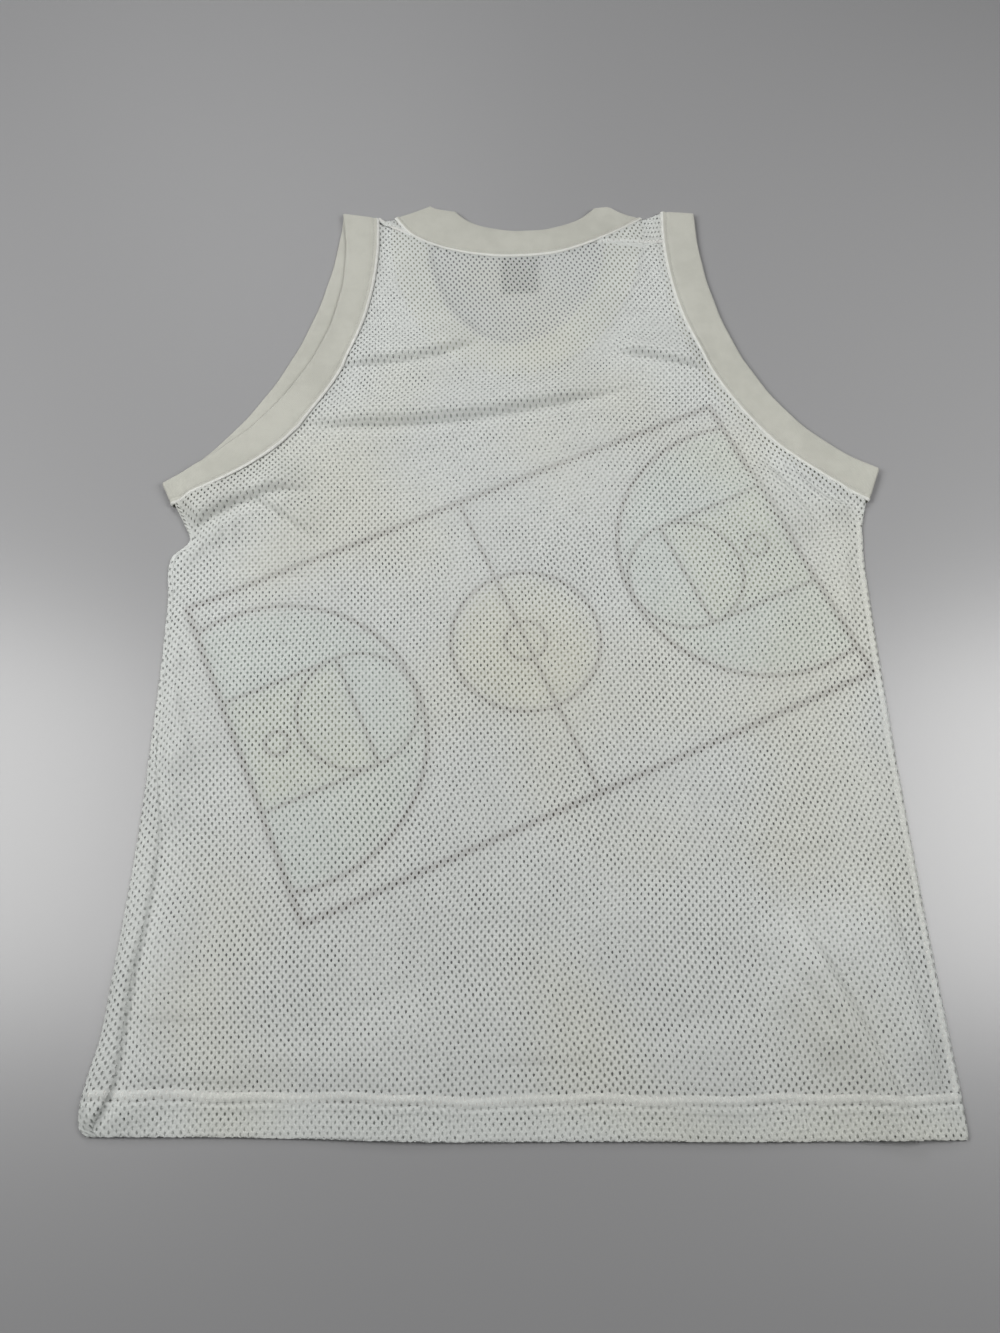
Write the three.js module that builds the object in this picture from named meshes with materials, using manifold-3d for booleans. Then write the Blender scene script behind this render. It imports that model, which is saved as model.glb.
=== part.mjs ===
// A sleeveless mesh sports jersey, laid flat on a table with its back up.
//
// Millimetres. +X points to the wearer's right, +Y from the hem to the neck, +Z up.
// The origin is the middle of the footprint, on the table.
//
// Cloth lies in two layers. The front panel is the lower layer, face down. The back panel lies on it.
// The cloth turns over at the two sides and at the shoulders, so each panel has a narrow strip
// in the other layer. Knitted bindings close the neck and the armholes: each is one closed band,
// folded flat, with its back half above its front half.

import * as THREE from 'three';
import { mergeVertices } from 'three/addons/utils/BufferGeometryUtils.js';
import Module from 'manifold-3d';

const wasm = await Module();
wasm.setup();

// ---------------------------------------------------------------- driving dimensions

const MESH_WALL = 1.2; // the knitted mesh
const HEM_EXTRA = 0.6; // the hem is turned up once, so it is thicker
const BINDING_WALL = 1.5; // double knit, folded over the raw edge
const GAP = 0.3; // between pieces at a seam, and between the layers
const LABEL_WALL = 1.0;

const HEM_Y = -394; // lower edge of the hem
const HEM_STITCH_Y = -372; // the hem's stitch line
const SHOULDER_Y = 381; // where the cloth turns over at the shoulders
const SHOULDER_CLEAR = 2; // from a turned shoulder to the bindings, which lean in there
const SEAM_TOP_Y = -138; // below this height the side seams lie in from the folded sides
const BINDING_STEP_Y = [40, 66]; // the upper layer climbs here to clear the front bindings

const CELL = 18; // grid of the folded back
const FLAT_CELL = 60; // grid of the flat front
const CURVE_STEPS = 22; // stations along half a binding
const TURN_STEPS = 4; // facets of a turned edge
const TURN_OVERLAP = 2; // how far a turned edge runs into the layers it joins

// The sides, from the hem to the underarm: both folded edges, and how far in the side seam lies.
const SIDES = [
  { y: -394, left: -291.7, right: 287.6, seam: 17 },
  { y: -361, left: -289.5, right: 287.6, seam: 18.5 },
  { y: -330, left: -285.2, right: 286.5, seam: 16 },
  { y: -292, left: -282.6, right: 284.5, seam: 14.5 },
  { y: -248, left: -279.8, right: 282.2, seam: 13.5 },
  { y: -207, left: -277.8, right: 280.5, seam: 15.5 },
  { y: -171, left: -276.8, right: 279.2, seam: 12.5 },
  { y: -138, left: -276.8, right: 278.0, seam: 4 },
  { y: -71, left: -276.5, right: 276.5, seam: 4 },
  { y: -10, left: -277.6, right: 275.5, seam: 4 },
  { y: 28, left: -279.6, right: 275.5, seam: 4 },
  { y: 44, left: -266.5, right: 276.8, seam: 4 },
  { y: 58, left: -271.5, right: 279.5, seam: 4 },
];

// Each armhole binding: its free edge and its seam edge, on the back and on the front.
// A row is a Bezier curve from the shoulder to the underarm.
const ARMHOLES = {
  left: {
    shoulder: { free: [-161, 383], seam: [-127, 380] },
    underarm: { free: [-292.5, 97], seam: [-282.2, 76] },
    back: { free: [[-139, 262], [-191, 163]], seam: [[-118, 258], [-163, 124]] },
    front: { free: [[-165, 276], [-206, 163]], seam: [[-132, 280], [-178, 140]] },
  },
  right: {
    shoulder: { free: [163, 384], seam: [131.5, 383] },
    underarm: { free: [296.5, 111], seam: [284, 80] },
    back: { free: [[164, 280], [197, 160]], seam: [[126, 272], [173, 140]] },
    front: { free: [[152, 282], [182, 160]], seam: [[122, 268], [158, 142]] },
  },
};

// The neck binding, from the wearer's left shoulder to the right one.
const NECK_BACK = {
  free: [[-56, 388.5], [-33, 361], [38, 359], [70, 390.5]],
  seam: [[-107, 381.5], [-72, 320], [70, 320], [107, 381.5]],
};
const NECK_FRONT = {
  free: [
    [-56, 388.5], [-80, 345], [-73, 299], [-46, 255], [-6, 236],
    [36, 255], [66, 297], [79, 345], [70, 390.5],
  ],
  seam: [
    [-107, 381.5], [-113, 345], [-103, 292], [-70, 235], [-6, 206],
    [60, 234], [97, 290], [111, 345], [107, 381.5],
  ],
};
const NECK_CROWN = 5; // the folded binding stands up a little where it turns over the shoulder

// Where the shoulder seams lie on the back: x and y of the two ends of each.
const SHOULDER_SEAMS = {
  left: { outer: [-134, 378], inner: [-84, 358.6] },
  right: { outer: [144, 352], inner: [70, 352.6] },
};

// The main folds of the back. Each runs along a quadratic curve.
// A trough is a valley between two soft ridges; a ridge is a single soft roll.
const FOLDS = [
  // name, form, from, via, to, width, height
  ['left_chest', 'trough', [-150, 214], [-78, 214], [-46, 238], 11, 2.2],
  ['swag', 'trough', [-180, 146], [-8, 138], [116, 202], 15, 3.4],
  ['right_chest', 'trough', [84, 224], [122, 222], [160, 214], 10, 2],
  ['left_underarm', 'trough', [-274, 46], [-232, 98], [-176, 84], 10, 5.5],
  ['left_roll', 'ridge', [-276, 24], [-244, 62], [-196, 62], 15, 4],
  ['left_ledge', 'trough', [-266, 26], [-248, 34], [-222, 26], 9, 2.5],
  ['right_underarm', 'trough', [204, 132], [222, 92], [244, 58], 11, 3.6],
  ['right_tip', 'trough', [282, 82], [258, 78], [238, 92], 8, 2.6],
  ['right_flank', 'ridge', [262, 66], [262, 20], [262, -30], 11, 3],
  ['left_flank', 'trough', [-272, -14], [-258, -58], [-238, -120], 12, 2.6],
  ['right_hem', 'trough', [208, -250], [240, -318], [264, -394], 13, 5],
  ['right_hem_short', 'trough', [188, -300], [218, -334], [234, -358], 10, 2.2],
  ['left_hem', 'trough', [-262, -300], [-236, -344], [-192, -366], 12, 2.6],
  ['hem_roll_left', 'ridge', [-86, -300], [-70, -350], [-72, -394], 42, 2.2],
  ['hem_roll_right', 'ridge', [112, -318], [118, -356], [126, -394], 36, 2.4],
  ['chest_swell', 'ridge', [-120, 76], [0, 92], [130, 110], 40, 2],
  ['waist_swell', 'ridge', [-170, -180], [0, -206], [160, -150], 60, 1.8],
].map(([name, form, from, via, to, width, height]) => ({ name, form, from, via, to, width, height }));
const SIDE_FADE = [2, 16]; // folds die out towards the sides, over this distance
const TOP_FADE = [372, 340]; // and towards the shoulders, between these heights

const LABEL = { x: 1.5, top: 334.5, width: 33, height: 40 };

const CREAM = 0xd8dacb;
const WHITE = 0xd9dbd6;
const CHARCOAL = 0x3c3e42;

// ---------------------------------------------------------------- small helpers

function smoothstep(from, to, value) {
  const t = Math.min(Math.max((value - from) / (to - from), 0), 1);
  return t * t * (3 - 2 * t);
}

// A column of the side table at any height, as a smooth curve through its rows.
function side(column, y) {
  const last = SIDES.length - 1;
  let row = 0;
  while (row < last - 1 && SIDES[row + 1].y < y) row += 1;
  const before = SIDES[Math.max(row - 1, 0)];
  const lower = SIDES[row];
  const upper = SIDES[row + 1];
  const after = SIDES[Math.min(row + 2, last)];
  const span = upper.y - lower.y;
  const t = Math.min(Math.max((y - lower.y) / span, 0), 1);
  const slopeLow = ((upper[column] - before[column]) / (upper.y - before.y)) * span;
  const slopeHigh = ((after[column] - lower[column]) / (after.y - lower.y)) * span;
  const t2 = t * t;
  const t3 = t2 * t;
  return (2 * t3 - 3 * t2 + 1) * lower[column] + (t3 - 2 * t2 + t) * slopeLow
    + (3 * t2 - 2 * t3) * upper[column] + (t3 - t2) * slopeHigh;
}

function bezier(start, controls, end) {
  const points = [start, ...controls, end].map(([x, y]) => new THREE.Vector2(x, y));
  return new THREE.CubicBezierCurve(...points).getPoints(CURVE_STEPS);
}

function spline(points) {
  return new THREE.SplineCurve(points.map(([x, y]) => new THREE.Vector2(x, y))).getPoints(CURVE_STEPS);
}

// Moves an open polyline sideways; a positive distance moves it to the left of its direction.
function offset(points, distance) {
  return points.map((point, i) => {
    const before = points[Math.max(i - 1, 0)];
    const after = points[Math.min(i + 1, points.length - 1)];
    const along = after.clone().sub(before).normalize();
    return new THREE.Vector2(point.x - along.y * distance, point.y + along.x * distance);
  });
}

function inside(points, x, y) {
  let odd = false;
  for (let i = 0, j = points.length - 1; i < points.length; j = i, i += 1) {
    const a = points[i];
    const b = points[j];
    if ((a.y > y) !== (b.y > y) && x < ((b.x - a.x) * (y - a.y)) / (b.y - a.y) + a.x) odd = !odd;
  }
  return odd;
}

// The nearest place on a polyline: its distance, and how far along it lies, from 0 to 1.
function nearest(points, x, y) {
  let best = { distance: Infinity, along: 0 };
  for (let i = 0; i < points.length - 1; i += 1) {
    const a = points[i];
    const b = points[i + 1];
    const dx = b.x - a.x;
    const dy = b.y - a.y;
    const t = Math.min(Math.max(((x - a.x) * dx + (y - a.y) * dy) / (dx * dx + dy * dy), 0), 1);
    const distance = Math.hypot(x - a.x - t * dx, y - a.y - t * dy);
    if (distance < best.distance) best = { distance, along: (i + t) / (points.length - 1) };
  }
  return best;
}

// ---------------------------------------------------------------- outlines of the bindings

const armhole = {};
for (const [name, row] of Object.entries(ARMHOLES)) {
  armhole[name] = {};
  for (const face of ['back', 'front']) {
    armhole[name][face] = {
      free: bezier(row.shoulder.free, row[face].free, row.underarm.free),
      seam: bezier(row.shoulder.seam, row[face].seam, row.underarm.seam),
    };
  }
}
const neck = {
  back: {
    free: bezier(NECK_BACK.free[0], NECK_BACK.free.slice(1, 3), NECK_BACK.free[3]),
    seam: bezier(NECK_BACK.seam[0], NECK_BACK.seam.slice(1, 3), NECK_BACK.seam[3]),
  },
  front: { free: spline(NECK_FRONT.free), seam: spline(NECK_FRONT.seam) },
};

// ---------------------------------------------------------------- heights of the two layers

const foldLines = FOLDS.map((fold) => {
  const [from, via, to] = [fold.from, fold.via, fold.to].map(([x, y]) => new THREE.Vector2(x, y));
  return { ...fold, points: new THREE.QuadraticBezierCurve(from, via, to).getPoints(10) };
});

function foldHeight(fold, x, y) {
  const { distance, along } = nearest(fold.points, x, y);
  const across = (distance / fold.width) ** 2;
  const fade = smoothstep(0, 0.3, along) * smoothstep(1, 0.7, along);
  const atHem = fold.to[1] <= HEM_Y ? smoothstep(0, 0.3, along) : fade;
  const shape = fold.form === 'ridge' ? Math.exp(-across) : across * Math.exp(1 - across);
  return fold.height * atHem * shape;
}

function lift(x, y) {
  const distance = Math.min(x - side('left', y), side('right', y) - x);
  const fade = smoothstep(...SIDE_FADE, distance) * smoothstep(...TOP_FADE, y);
  return foldLines.reduce((sum, fold) => sum + foldHeight(fold, x, y), 0) * fade;
}

function hemExtra(y) {
  return HEM_EXTRA * smoothstep(HEM_STITCH_Y + 2, HEM_STITCH_Y - 1, y);
}

// The top of the lower layer, and the underside and top of the upper one.
function lowerTop(x, y) {
  return MESH_WALL + hemExtra(y);
}

function sag(x, y) {
  if (!inside(neck.front.free, x, y)) return 0;
  const depth = BINDING_WALL + GAP - (LABEL_WALL + GAP);
  return depth * smoothstep(10, 36, nearest(neck.front.free, x, y).distance);
}

function upperUnder(x, y) {
  const climb = (BINDING_WALL - MESH_WALL) * smoothstep(...BINDING_STEP_Y, y);
  return lowerTop(x, y) + GAP + climb - sag(x, y) + lift(x, y);
}

function upperTop(x, y) {
  return upperUnder(x, y) + MESH_WALL + hemExtra(y);
}

// ---------------------------------------------------------------- closed solids

function toManifold(geometry) {
  const bare = geometry.clone();
  for (const name of Object.keys(bare.attributes)) {
    if (name !== 'position') bare.deleteAttribute(name);
  }
  const merged = mergeVertices(bare, 1e-4);
  return new wasm.Manifold(new wasm.Mesh({
    numProp: 3,
    vertProperties: Float32Array.from(merged.attributes.position.array),
    triVerts: Uint32Array.from(merged.index.array),
  }));
}

function toGeometry(manifold) {
  const mesh = manifold.getMesh();
  const geometry = new THREE.BufferGeometry();
  geometry.setAttribute('position', new THREE.BufferAttribute(Float32Array.from(mesh.vertProperties), 3));
  geometry.setIndex(new THREE.BufferAttribute(Uint32Array.from(mesh.triVerts), 1));
  return geometry;
}

function indexed(points, faces) {
  const geometry = new THREE.BufferGeometry();
  geometry.setAttribute('position', new THREE.Float32BufferAttribute(points.flat(), 3));
  geometry.setIndex(faces.flat());
  return geometry;
}

function gridLines(from, to, cell, extra = []) {
  const count = Math.ceil((to - from) / cell);
  const lines = Array.from({ length: count + 1 }, (_, i) => from + ((to - from) * i) / count);
  const clear = lines.filter((line) => extra.every((other) => Math.abs(line - other) > 3));
  return [...clear, ...extra].sort((a, b) => a - b);
}

// A slab over a rectangle, between two height functions.
function slab(cell, under, over) {
  const xs = gridLines(-304, 304, cell);
  const ys = gridLines(-404, 404, cell, [HEM_STITCH_Y - 1, HEM_STITCH_Y + 2]);
  const points = [];
  for (const height of [under, over]) {
    for (const y of ys) {
      for (const x of xs) points.push([x, y, height(x, y)]);
    }
  }
  const layer = xs.length * ys.length;
  const at = (i, j, top) => top * layer + j * xs.length + i;
  const faces = [];
  for (let j = 0; j < ys.length - 1; j += 1) {
    for (let i = 0; i < xs.length - 1; i += 1) {
      faces.push([at(i, j, 1), at(i + 1, j, 1), at(i + 1, j + 1, 1)]);
      faces.push([at(i, j, 1), at(i + 1, j + 1, 1), at(i, j + 1, 1)]);
      faces.push([at(i, j, 0), at(i + 1, j + 1, 0), at(i + 1, j, 0)]);
      faces.push([at(i, j, 0), at(i, j + 1, 0), at(i + 1, j + 1, 0)]);
    }
  }
  const wall = (i, j, k, l) => {
    faces.push([at(i, j, 0), at(k, l, 0), at(k, l, 1)]);
    faces.push([at(i, j, 0), at(k, l, 1), at(i, j, 1)]);
  };
  for (let i = 0; i < xs.length - 1; i += 1) {
    wall(i, 0, i + 1, 0);
    wall(i + 1, ys.length - 1, i, ys.length - 1);
  }
  for (let j = 0; j < ys.length - 1; j += 1) {
    wall(0, j + 1, 0, j);
    wall(xs.length - 1, j, xs.length - 1, j + 1);
  }
  return toManifold(indexed(points, faces));
}

// An upright cutter with the given outline, taller than the garment.
function cutter(outline) {
  const geometry = new THREE.ExtrudeGeometry(new THREE.Shape(outline), { depth: 80, bevelEnabled: false });
  geometry.translate(0, 0, -20);
  return toManifold(geometry);
}

// A body through a list of equal rings of 3-D points. It is closed end to end, or has flat ends.
function loft(rings, section = null) {
  const size = rings[0].length;
  const faces = [];
  const spans = section ? rings.length - 1 : rings.length;
  for (let r = 0; r < spans; r += 1) {
    const a = r * size;
    const b = ((r + 1) % rings.length) * size;
    for (let i = 0; i < size; i += 1) {
      const j = (i + 1) % size;
      faces.push([a + i, a + j, b + j], [a + i, b + j, b + i]);
    }
  }
  if (section) {
    const end = (rings.length - 1) * size;
    const clockwise = THREE.ShapeUtils.isClockWise(section);
    for (const corners of THREE.ShapeUtils.triangulateShape(section, [])) {
      const [i, j, k] = clockwise ? corners.reverse() : corners;
      faces.push([k, j, i], [end + i, end + j, end + k]);
    }
  }
  const solid = toManifold(indexed(rings.flat(), faces));
  if (solid.volume() > 0) return solid;
  const reversed = faces.map(([i, j, k]) => [k, j, i]);
  return toManifold(indexed(rings.flat(), reversed));
}

// ---------------------------------------------------------------- the turned edges

// Half the height of both layers where they turn over an edge.
function turnRadius(x, y) {
  return upperTop(x, y) / 2;
}

// The cloth as it turns over an edge: a hollow half-round wall along the stations.
// A station is a place on the edge; its normal points out of the garment.
function turnedEdge(stations) {
  const sections = stations.map(({ x, y }) => {
    const radius = turnRadius(x, y);
    const under = upperUnder(x, y);
    const low = lowerTop(x, y);
    const hollow = (under - low) / 2;
    const back = -radius - TURN_OVERLAP;
    const shy = 0.05; // the ends stay just inside the layers
    const outer = [];
    const inner = [];
    for (let k = 0; k <= TURN_STEPS; k += 1) {
      const angle = Math.PI / 2 - (Math.PI * k) / TURN_STEPS;
      outer.push([-radius + radius * Math.cos(angle), radius + radius * Math.sin(angle)]);
      inner.unshift([-radius + hollow * Math.cos(angle), (under + low) / 2 + hollow * Math.sin(angle)]);
    }
    const upperEnd = [[back, under + shy], [back, 2 * radius - shy]];
    const lowerEnd = [[back, shy], [back, low - shy]];
    return [...upperEnd, ...outer, ...lowerEnd, ...inner];
  });
  const rings = sections.map((section, s) => {
    const { x, y, normal } = stations[s];
    return section.map(([out, z]) => [x + normal.x * out, y + normal.y * out, z]);
  });
  return loft(rings, sections[0].map(([out, z]) => new THREE.Vector2(out, z)));
}

function edgeStations(points, outward) {
  return points.map((point, i) => {
    const before = points[Math.max(i - 1, 0)];
    const after = points[Math.min(i + 1, points.length - 1)];
    const along = after.clone().sub(before).normalize();
    const normal = new THREE.Vector2(along.y, -along.x);
    if (normal.dot(outward) < 0) normal.negate();
    return { x: point.x, y: point.y, normal };
  });
}

// ---------------------------------------------------------------- panel outlines

function sidePoints(column, from, to, inset) {
  const steps = Math.ceil(Math.abs(to - from) / 15);
  return Array.from({ length: steps + 1 }, (_, i) => {
    const y = from + ((to - from) * i) / steps;
    return new THREE.Vector2(side(column, y) + inset, y);
  });
}

// The outline of a layer, anticlockwise from the right corner of the hem.
function layerOutline(face) {
  const turn = (MESH_WALL * 2 + GAP) / 2 + 0.05;
  const topY = SIDES[SIDES.length - 1].y;
  const neckEdge = offset(neck[face].seam, -GAP);
  return [
    ...sidePoints('right', HEM_Y, SEAM_TOP_Y - 1, -turn),
    ...sidePoints('right', SEAM_TOP_Y, topY, 0),
    ...offset(armhole.right[face].seam, -GAP).reverse().slice(1, -1),
    new THREE.Vector2(ARMHOLES.right.shoulder.seam[0] - SHOULDER_CLEAR, SHOULDER_Y - turn),
    new THREE.Vector2(NECK_BACK.seam[3][0] + SHOULDER_CLEAR, SHOULDER_Y - turn),
    ...neckEdge.slice(1, -1).reverse(),
    new THREE.Vector2(NECK_BACK.seam[0][0] - SHOULDER_CLEAR, SHOULDER_Y - turn),
    new THREE.Vector2(ARMHOLES.left.shoulder.seam[0] + SHOULDER_CLEAR, SHOULDER_Y - turn),
    ...offset(armhole.left[face].seam, GAP).slice(1, -1),
    ...sidePoints('left', topY, SEAM_TOP_Y, 0),
    ...sidePoints('left', SEAM_TOP_Y - 1, HEM_Y, turn),
  ];
}

// The strip between a folded side and its seam. It is widened by grow.
function sideStrip(name, grow) {
  const sign = name === 'left' ? 1 : -1;
  const seamLine = sidePoints(name, HEM_Y - 8, SEAM_TOP_Y, 0)
    .map(({ x, y }) => new THREE.Vector2(x + sign * (side('seam', y) + grow), y));
  const outside = sign * -320;
  const topX = seamLine[seamLine.length - 1].x;
  const outline = [
    new THREE.Vector2(outside, HEM_Y - 8),
    ...seamLine,
    new THREE.Vector2(topX, SEAM_TOP_Y + 0.01 + grow),
    new THREE.Vector2(outside, SEAM_TOP_Y + 0.01 + grow),
  ];
  return cutter(name === 'left' ? outline : outline.reverse());
}

// The strip between the top of a shoulder and its seam.
function shoulderStrip(name, grow) {
  const { outer, inner } = SHOULDER_SEAMS[name];
  const outline = [
    new THREE.Vector2(outer[0], outer[1] - grow),
    new THREE.Vector2(inner[0], inner[1] - grow),
    new THREE.Vector2(inner[0], 400),
    new THREE.Vector2(outer[0], 400),
  ];
  return cutter(name === 'left' ? outline : outline.reverse());
}

// ---------------------------------------------------------------- the panels

const lowerLayer = slab(FLAT_CELL, () => 0, lowerTop).intersect(cutter(layerOutline('front')));
const upperLayer = slab(CELL, upperUnder, upperTop).intersect(cutter(layerOutline('back')));

function turnedSide(name) {
  const outward = new THREE.Vector2(name === 'left' ? -1 : 1, 0);
  return turnedEdge(edgeStations(sidePoints(name, HEM_Y, SEAM_TOP_Y - 1, 0), outward));
}

function turnedShoulder(name) {
  const sign = name === 'left' ? -1 : 1;
  const ends = [NECK_BACK.seam[name === 'left' ? 0 : 3][0], ARMHOLES[name].shoulder.seam[0]];
  const xs = [ends[0] + sign * SHOULDER_CLEAR, (ends[0] + ends[1]) / 2, ends[1] - sign * SHOULDER_CLEAR];
  const points = xs.map((x) => new THREE.Vector2(x, SHOULDER_Y));
  return turnedEdge(edgeStations(points, new THREE.Vector2(0, 1)));
}

function join(pieces) {
  return pieces.reduce((whole, piece) => whole.add(piece));
}

function frontPanel() {
  return join([
    lowerLayer.subtract(sideStrip('right', GAP)),
    upperLayer.intersect(sideStrip('left', 0)),
    upperLayer.intersect(shoulderStrip('left', 0)),
    upperLayer.intersect(shoulderStrip('right', 0)),
    turnedSide('left'),
    turnedShoulder('left'),
    turnedShoulder('right'),
  ]);
}

function backPanel() {
  const strips = join([sideStrip('left', GAP), shoulderStrip('left', GAP), shoulderStrip('right', GAP)]);
  return join([
    upperLayer.subtract(strips),
    lowerLayer.intersect(sideStrip('right', 0)),
    turnedSide('right'),
  ]);
}

// ---------------------------------------------------------------- the bindings

// Three points across the band, from its seam edge to its free edge.
function across(seam, free) {
  return [0, 0.5, 1].map((t) => seam.clone().lerp(free, t));
}

// One station of a band: its points across, each with its height, and the way its wall faces.
function bandRing(points, facing) {
  const half = BINDING_WALL / 2;
  const low = points.map(([x, y, z]) => [x - facing.x * half, y - facing.y * half, z - facing.z * half]);
  const high = points.map(([x, y, z]) => [x + facing.x * half, y + facing.y * half, z + facing.z * half]);
  return [...low, ...high.reverse()];
}

// A closed band folded flat: along the back, over one end, along the front, and over the other end.
// turns gives the way out at each end; crown lifts the middle of the fold.
function foldedBand(back, front, turns, crown) {
  const half = BINDING_WALL / 2;
  const lowZ = half;
  const highZ = BINDING_WALL + GAP + half;
  const radius = (highZ - lowZ) / 2;
  const last = back.seam.length - 1;
  const place = (face, i) => {
    const nearness = Math.abs((2 * i) / last - 1) ** 6;
    const out = turns[i < last / 2 ? 0 : 1];
    const points = across(face.seam[i], face.free[i]);
    points[1].add(new THREE.Vector2(out[0], out[1]).multiplyScalar(crown * nearness));
    return points;
  };
  const rings = [];
  for (let i = 0; i <= last; i += 1) {
    const points = place(back, i).map(({ x, y }) => [x, y, upperUnder(x, y) + sag(x, y) + half]);
    rings.push(bandRing(points, { x: 0, y: 0, z: 1 }));
  }
  const turnOver = (i, out, downwards) => {
    for (let k = 1; k < TURN_STEPS; k += 1) {
      const angle = (Math.PI * (downwards ? k : TURN_STEPS - k)) / TURN_STEPS;
      const sine = Math.sin(angle);
      const reach = radius * sine;
      const height = (highZ + lowZ) / 2 + radius * Math.cos(angle);
      const points = place(back, i).map(({ x, y }) => [x + out[0] * reach, y + out[1] * reach, height]);
      rings.push(bandRing(points, { x: out[0] * sine, y: out[1] * sine, z: Math.cos(angle) }));
    }
  };
  turnOver(last, turns[1], true);
  for (let i = last; i >= 0; i -= 1) {
    const points = place(front, i).map(({ x, y }) => [x, y, lowZ]);
    rings.push(bandRing(points, { x: 0, y: 0, z: -1 }));
  }
  turnOver(0, turns[0], false);
  return loft(rings);
}

function armholeBinding(name) {
  const out = name === 'left' ? -1 : 1;
  return foldedBand(armhole[name].back, armhole[name].front, [[0, 1], [out * 0.9, -0.436]], 0);
}

function neckBinding() {
  return foldedBand(neck.back, neck.front, [[0, 1], [0, 1]], NECK_CROWN);
}

// ---------------------------------------------------------------- the label

function neckLabel() {
  const corner = 2;
  const x0 = LABEL.x - LABEL.width / 2;
  const x1 = LABEL.x + LABEL.width / 2;
  const y0 = LABEL.top - LABEL.height;
  const outline = new THREE.Shape();
  outline.moveTo(x0, LABEL.top);
  outline.lineTo(x0, y0 + corner);
  outline.quadraticCurveTo(x0, y0, x0 + corner, y0);
  outline.lineTo(x1 - corner, y0);
  outline.quadraticCurveTo(x1, y0, x1, y0 + corner);
  outline.lineTo(x1, LABEL.top);
  const options = { depth: LABEL_WALL, bevelEnabled: false, curveSegments: 3 };
  return toManifold(new THREE.ExtrudeGeometry(outline, options));
}

// ---------------------------------------------------------------- the garment

function cloth(name, solid, color) {
  const material = new THREE.MeshStandardMaterial({ color, roughness: 0.9, metalness: 0 });
  const mesh = new THREE.Mesh(toGeometry(solid), material);
  mesh.name = name;
  return mesh;
}

const jersey = new THREE.Group();
jersey.add(cloth('front_panel', frontPanel(), WHITE));
jersey.add(cloth('back_panel', backPanel(), WHITE));
jersey.add(cloth('neck_binding', neckBinding(), CREAM));
jersey.add(cloth('armhole_binding_left', armholeBinding('left'), CREAM));
jersey.add(cloth('armhole_binding_right', armholeBinding('right'), CREAM));
jersey.add(cloth('neck_label', neckLabel(), CHARCOAL));

export default jersey;
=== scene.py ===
# %% [markdown]
# # A mesh jersey, laid flat
# A sleeveless sports jersey lies on a pale table with its back up. It is two panels of white eyelet mesh,
# three bands of cream double knit round the neck and the armholes, a small dark label, and the sewing
# that joins them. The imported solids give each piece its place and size. Here each becomes cloth: the mesh
# is really pierced, eyelet by eyelet, because its holes are what one sees first, and light and the layer
# below show through them.

# %% Load the fixed frame
import math

import bpy
import numpy as np
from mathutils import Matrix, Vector


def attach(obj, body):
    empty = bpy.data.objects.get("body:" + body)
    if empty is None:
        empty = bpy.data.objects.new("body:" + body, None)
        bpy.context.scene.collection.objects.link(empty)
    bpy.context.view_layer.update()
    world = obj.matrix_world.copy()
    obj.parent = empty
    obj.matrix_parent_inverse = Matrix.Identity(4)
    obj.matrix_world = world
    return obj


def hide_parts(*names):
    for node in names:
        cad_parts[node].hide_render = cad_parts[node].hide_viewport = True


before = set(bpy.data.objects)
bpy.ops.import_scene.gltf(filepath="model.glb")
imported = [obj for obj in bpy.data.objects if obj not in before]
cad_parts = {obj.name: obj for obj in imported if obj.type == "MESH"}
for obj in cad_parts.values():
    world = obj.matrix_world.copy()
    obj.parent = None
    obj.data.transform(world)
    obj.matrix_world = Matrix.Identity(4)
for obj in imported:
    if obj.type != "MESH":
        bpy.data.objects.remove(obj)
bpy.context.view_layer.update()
print("solids:", sorted(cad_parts))

# %% [markdown]
# ## Sizes
# Lengths are in millimetres and become metres only when a mesh is made. The tables are the pattern pieces
# as they lie: +x is to the wearer's right and +y runs from hem to neck. They could be read back from the
# solids' vertices, but a facet is 16 mm long there, so the curves are written again here and sampled
# finely.

# %% Sizes of the garment
MM = 0.001
MESH_WALL = 1.2
BAND_WALL = 1.5
LAYER_GAP = 0.3
MESH_APART = 1.25  # from the middle of one mesh layer to the other's
HEM_Y, HEM_TURN = -394.0, 22.0
TURN_RADIUS = 1.45  # of the cloth where it turns over a side or a shoulder
ALLOWANCE = 3.5  # how far the mesh runs into the bands

# y, left fold, right fold, and how far in from the fold the side seam lies
SIDES = np.array([
    (-394, -285.0, 288.6, 8), (-389, -290.8, 289.3, 9.5), (-376, -292.8, 289.0, 16.5),
    (-361, -291.2, 288.6, 19.5), (-330, -285.2, 286.7, 15.5),
    (-292, -282.6, 284.5, 14.5), (-248, -279.8, 282.2, 16.5), (-207, -277.8, 280.5, 16.5),
    (-171, -276.8, 279.2, 12.5), (-138, -276.8, 278.0, 6.5), (-71, -276.5, 276.5, 4),
    (-10, -277.6, 275.5, 4), (28, -279.6, 275.5, 4), (44, -266.5, 276.8, 4), (58, -271.5, 277.9, 4),
    (78, -282.2, 283, 4),
])
LEFT, RIGHT, SEAM = 1, 2, 3  # its columns
print("widest, mm:", round(float((SIDES[:, RIGHT] - SIDES[:, LEFT]).max()), 1))

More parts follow.
